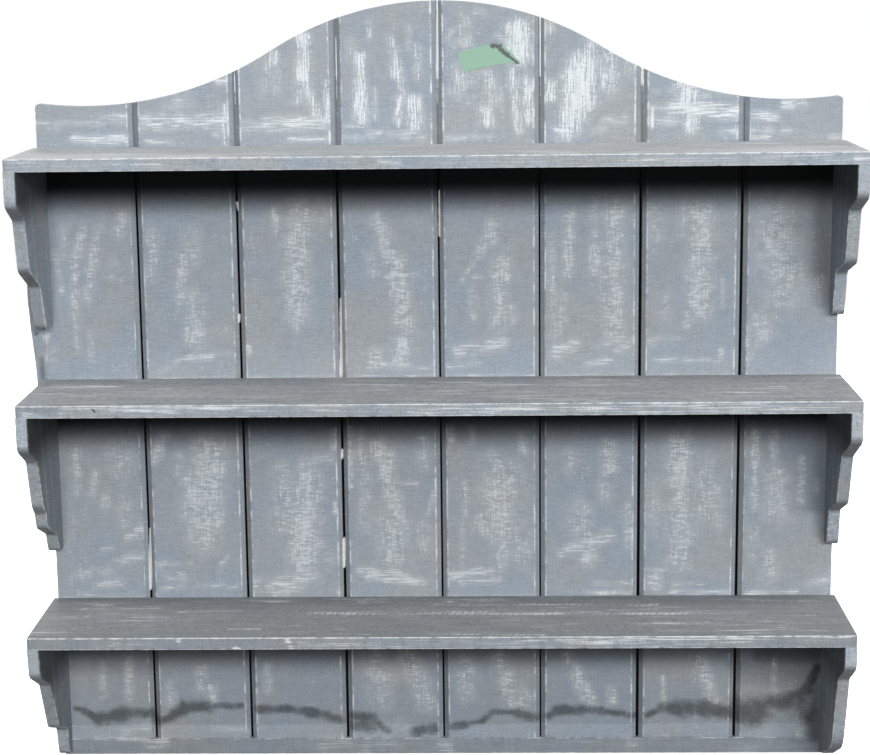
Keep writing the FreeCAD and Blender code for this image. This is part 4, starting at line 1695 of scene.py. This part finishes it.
@dataclass
class Studio:
    """A pale floor, a white backdrop for the eye and for gloss, and soft panels in front and behind."""

    floor_half: float = 3.0
    floor_drop: float = 1.0
    floor_glow: float = 0.88
    floor_as_light: str = "#7A7A7A"
    floor_seen: str = "#F4F4F4"
    white: str = "#FFFFFF"
    dim_world: float = 0.04
    panels: tuple[SoftPanel, ...] = (
        SoftPanel("front_panel", (1.8, -7.6, 2.3), 6.5, 1.6, 560.0),
        SoftPanel("high_panel", (0.3, -2.2, 3.6), 3.0, 1.2, 120.0),
        SoftPanel("back_panel", (-0.6, 4.5, 2.2), 3.0, 2.0, 180.0),
        SoftPanel("right_panel", (4.0, 1.2, 0.8), 2.0, 2.0, 75.0),
        SoftPanel("left_panel", (-4.0, 1.2, 0.8), 2.0, 2.0, 75.0),
    )

    def floor(self) -> None:
        """Lay the floor under the shelf's foot."""
        shape = bmesh.new()
        bmesh.ops.create_grid(shape, x_segments=1, y_segments=1, size=self.floor_half)
        low = Vector((0, 0, (RAIL_FOOT - self.floor_drop) * MM))
        bmesh.ops.translate(shape, verts=shape.verts, vec=low)
        material, tree = new_material("pale_floor")
        matt = add(tree, "ShaderNodeBsdfDiffuse", {"Color": linear(self.floor_as_light)})
        lit = add(tree, "ShaderNodeBsdfDiffuse", {"Color": linear(self.floor_seen)})
        glow = add(tree, "ShaderNodeEmission", {"Color": linear(self.white), "Strength": self.floor_glow})
        pale = add(tree, "ShaderNodeAddShader", {0: lit, 1: glow})
        shown = seen(tree, ("Is Camera Ray", "Is Glossy Ray"))
        mixed = add(tree, "ShaderNodeMixShader", {0: shown, 1: matt, 2: pale})
        add(tree, "ShaderNodeOutputMaterial", {"Surface": mixed})
        floor = into_scene(shape, "floor", [material])

    def world(self) -> None:
        """White for the eye and in gloss, dim as a light."""
        world = bpy.data.worlds.new("studio")
        bpy.context.scene.world = world
        world.use_nodes = True
        tree = world.node_tree
        tree.nodes.clear()
        shown = seen(tree, ("Is Camera Ray", "Is Glossy Ray", "Is Transmission Ray"))
        strength = ramp(tree, shown, result=(self.dim_world, 1.0))
        sky = add(tree, "ShaderNodeBackground", {"Color": linear(self.white), "Strength": strength})
        add(tree, "ShaderNodeOutputWorld", {"Surface": sky})

    def build(self) -> None:
        """Set up the floor, the backdrop and the panels."""
        self.floor()
        self.world()
        for panel in self.panels:
            panel.build()
        bpy.context.scene.view_settings.view_transform = "Standard"


@dataclass(frozen=True)
class LevelTones:
    """The tones of one level's paint, as painted shade: the shelf's top and front, and the brackets' inner
    faces.
    """

    top: float
    front: float
    left: float
    right: float


@dataclass
class WallShelf:
    """The whole shelf: what is painted is built anew, and what is bare or metal is finished in place."""

    boards: int = 8
    rail_tone: float = 0.22
    lath_tone: float = 0.15
    # Painted shade, mostly darker on the lower levels.
    tones: dict[Level, LevelTones] = field(
        default_factory=lambda: {
            Level.TOP: LevelTones(0.03, 0.16, 0.03, 0.15),
            Level.MIDDLE: LevelTones(0.29, 0.29, 0.3, 0.3),
            Level.BOTTOM: LevelTones(0.46, 0.4, 0.32, 0.0),
        }
    )
    board_paint: ChalkPaint = ChalkPaint("chalk_paint_dry_brushed")
    shelf_paint: ChalkPaint = ChalkPaint(
        "chalk_paint_on_shelves",
        saw_sizes=(40.0, 1.6, 1.3),
        film=0.3,
        bristle_length=60.0,
        stray_sizes=(90.0, 14.0, 9.0),
        stray_mark=Mark.ACROSS,
        shading=0.28,
    )
    top_paint: ChalkPaint = replace(
        shelf_paint,
        name="chalk_paint_on_shelf_tops",
        cool="#A9ADB1",
        warm="#B1B2B3",
        saw_sizes=(50.0, 9.0, 2.0),
        speckle_size=3.5,
        bristle_width=5.0,
        bristle_length=70.0,
        stray_sizes=(120.0, 40.0, 9.0),
        stray_load=0.52,
        shading=0.34,
    )
    bracket_paint: ChalkPaint = ChalkPaint(
        "chalk_paint_on_brackets",
        patch_size=25.0,
        cloud_size=6.0,
        stray_sizes=(9.0, 9.0, 28.0),
        stray_load=0.5,
        shading=0.3,
    )
    # Greys as dark as the painted shade on the lower shelves' tops.
    nail_paint: ChalkPaint = ChalkPaint("chalk_paint_over_nail_heads", cool="#8B9196", warm="#8F9294")

    def build(self) -> None:
        """Dress every piece."""
        board_paint = self.board_paint.material()
        shelf_paints = [self.shelf_paint.material(), self.top_paint.material()]
        bracket_paint = self.bracket_paint.material()
        pine_up = BarePine(lengthways=Lengthways.UP).material()
        for number in range(1, self.boards + 1):
            BackBoard(f"back_board_{number}", [board_paint, pine_up]).build()
        for level, tones in self.tones.items():
            node = f"{level.value}_shelf"
            Shelf(node, shelf_paints, level=level, top_tone=tones.top, front_tone=tones.front).build()
            for side, tone in ((Side.LEFT, tones.left), (Side.RIGHT, tones.right)):
                node = f"{level.value}_bracket_{side.name.lower()}"
                Bracket(node, [bracket_paint], side=side, level=level, inner_tone=tone).build()
        Trim("foot_rail", shelf_paints[:1], tone=self.rail_tone).build()
        Trim("edge_lath", [board_paint], tone=self.lath_tone).build()
        TapePiece().build(CrepePaper().material())
        self.finish_hidden()

    def finish_hidden(self) -> None:
        """Give the bare battens, plates and fasteners their finish in place."""
        pine_along = BarePine(lengthways=Lengthways.ALONG).material()
        zinc = PlainMetal("dull_zinc_plate", "#8E9295").material()
        steel = PlainMetal("dulled_steel_wire", "#77797A").material()
        over_nails = self.nail_paint.material()
        shown = {f"{level.value}_batten": pine_along for level in Level}
        shown |= {f"hanger_plate_{side.name.lower()}": zinc for side in Side}
        shown |= {name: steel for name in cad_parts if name.endswith(("_screws", "_nails"))}
        shown |= {name: over_nails for name in ("bracket_top_nails", "lath_nails")}
        for name, material in shown.items():
            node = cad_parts[name]
            node.data.materials.clear()
            node.data.materials.append(material)
            LOG.info("%s: %s", name, material.name)


def main() -> None:
    """Build the camera, the studio and the shelf in order."""
    logging.basicConfig(level=logging.INFO, format="%(name)s %(message)s")
    CAMERA.build()
    Studio().build()
    WallShelf().build()


if __name__ == "__main__":
    main()
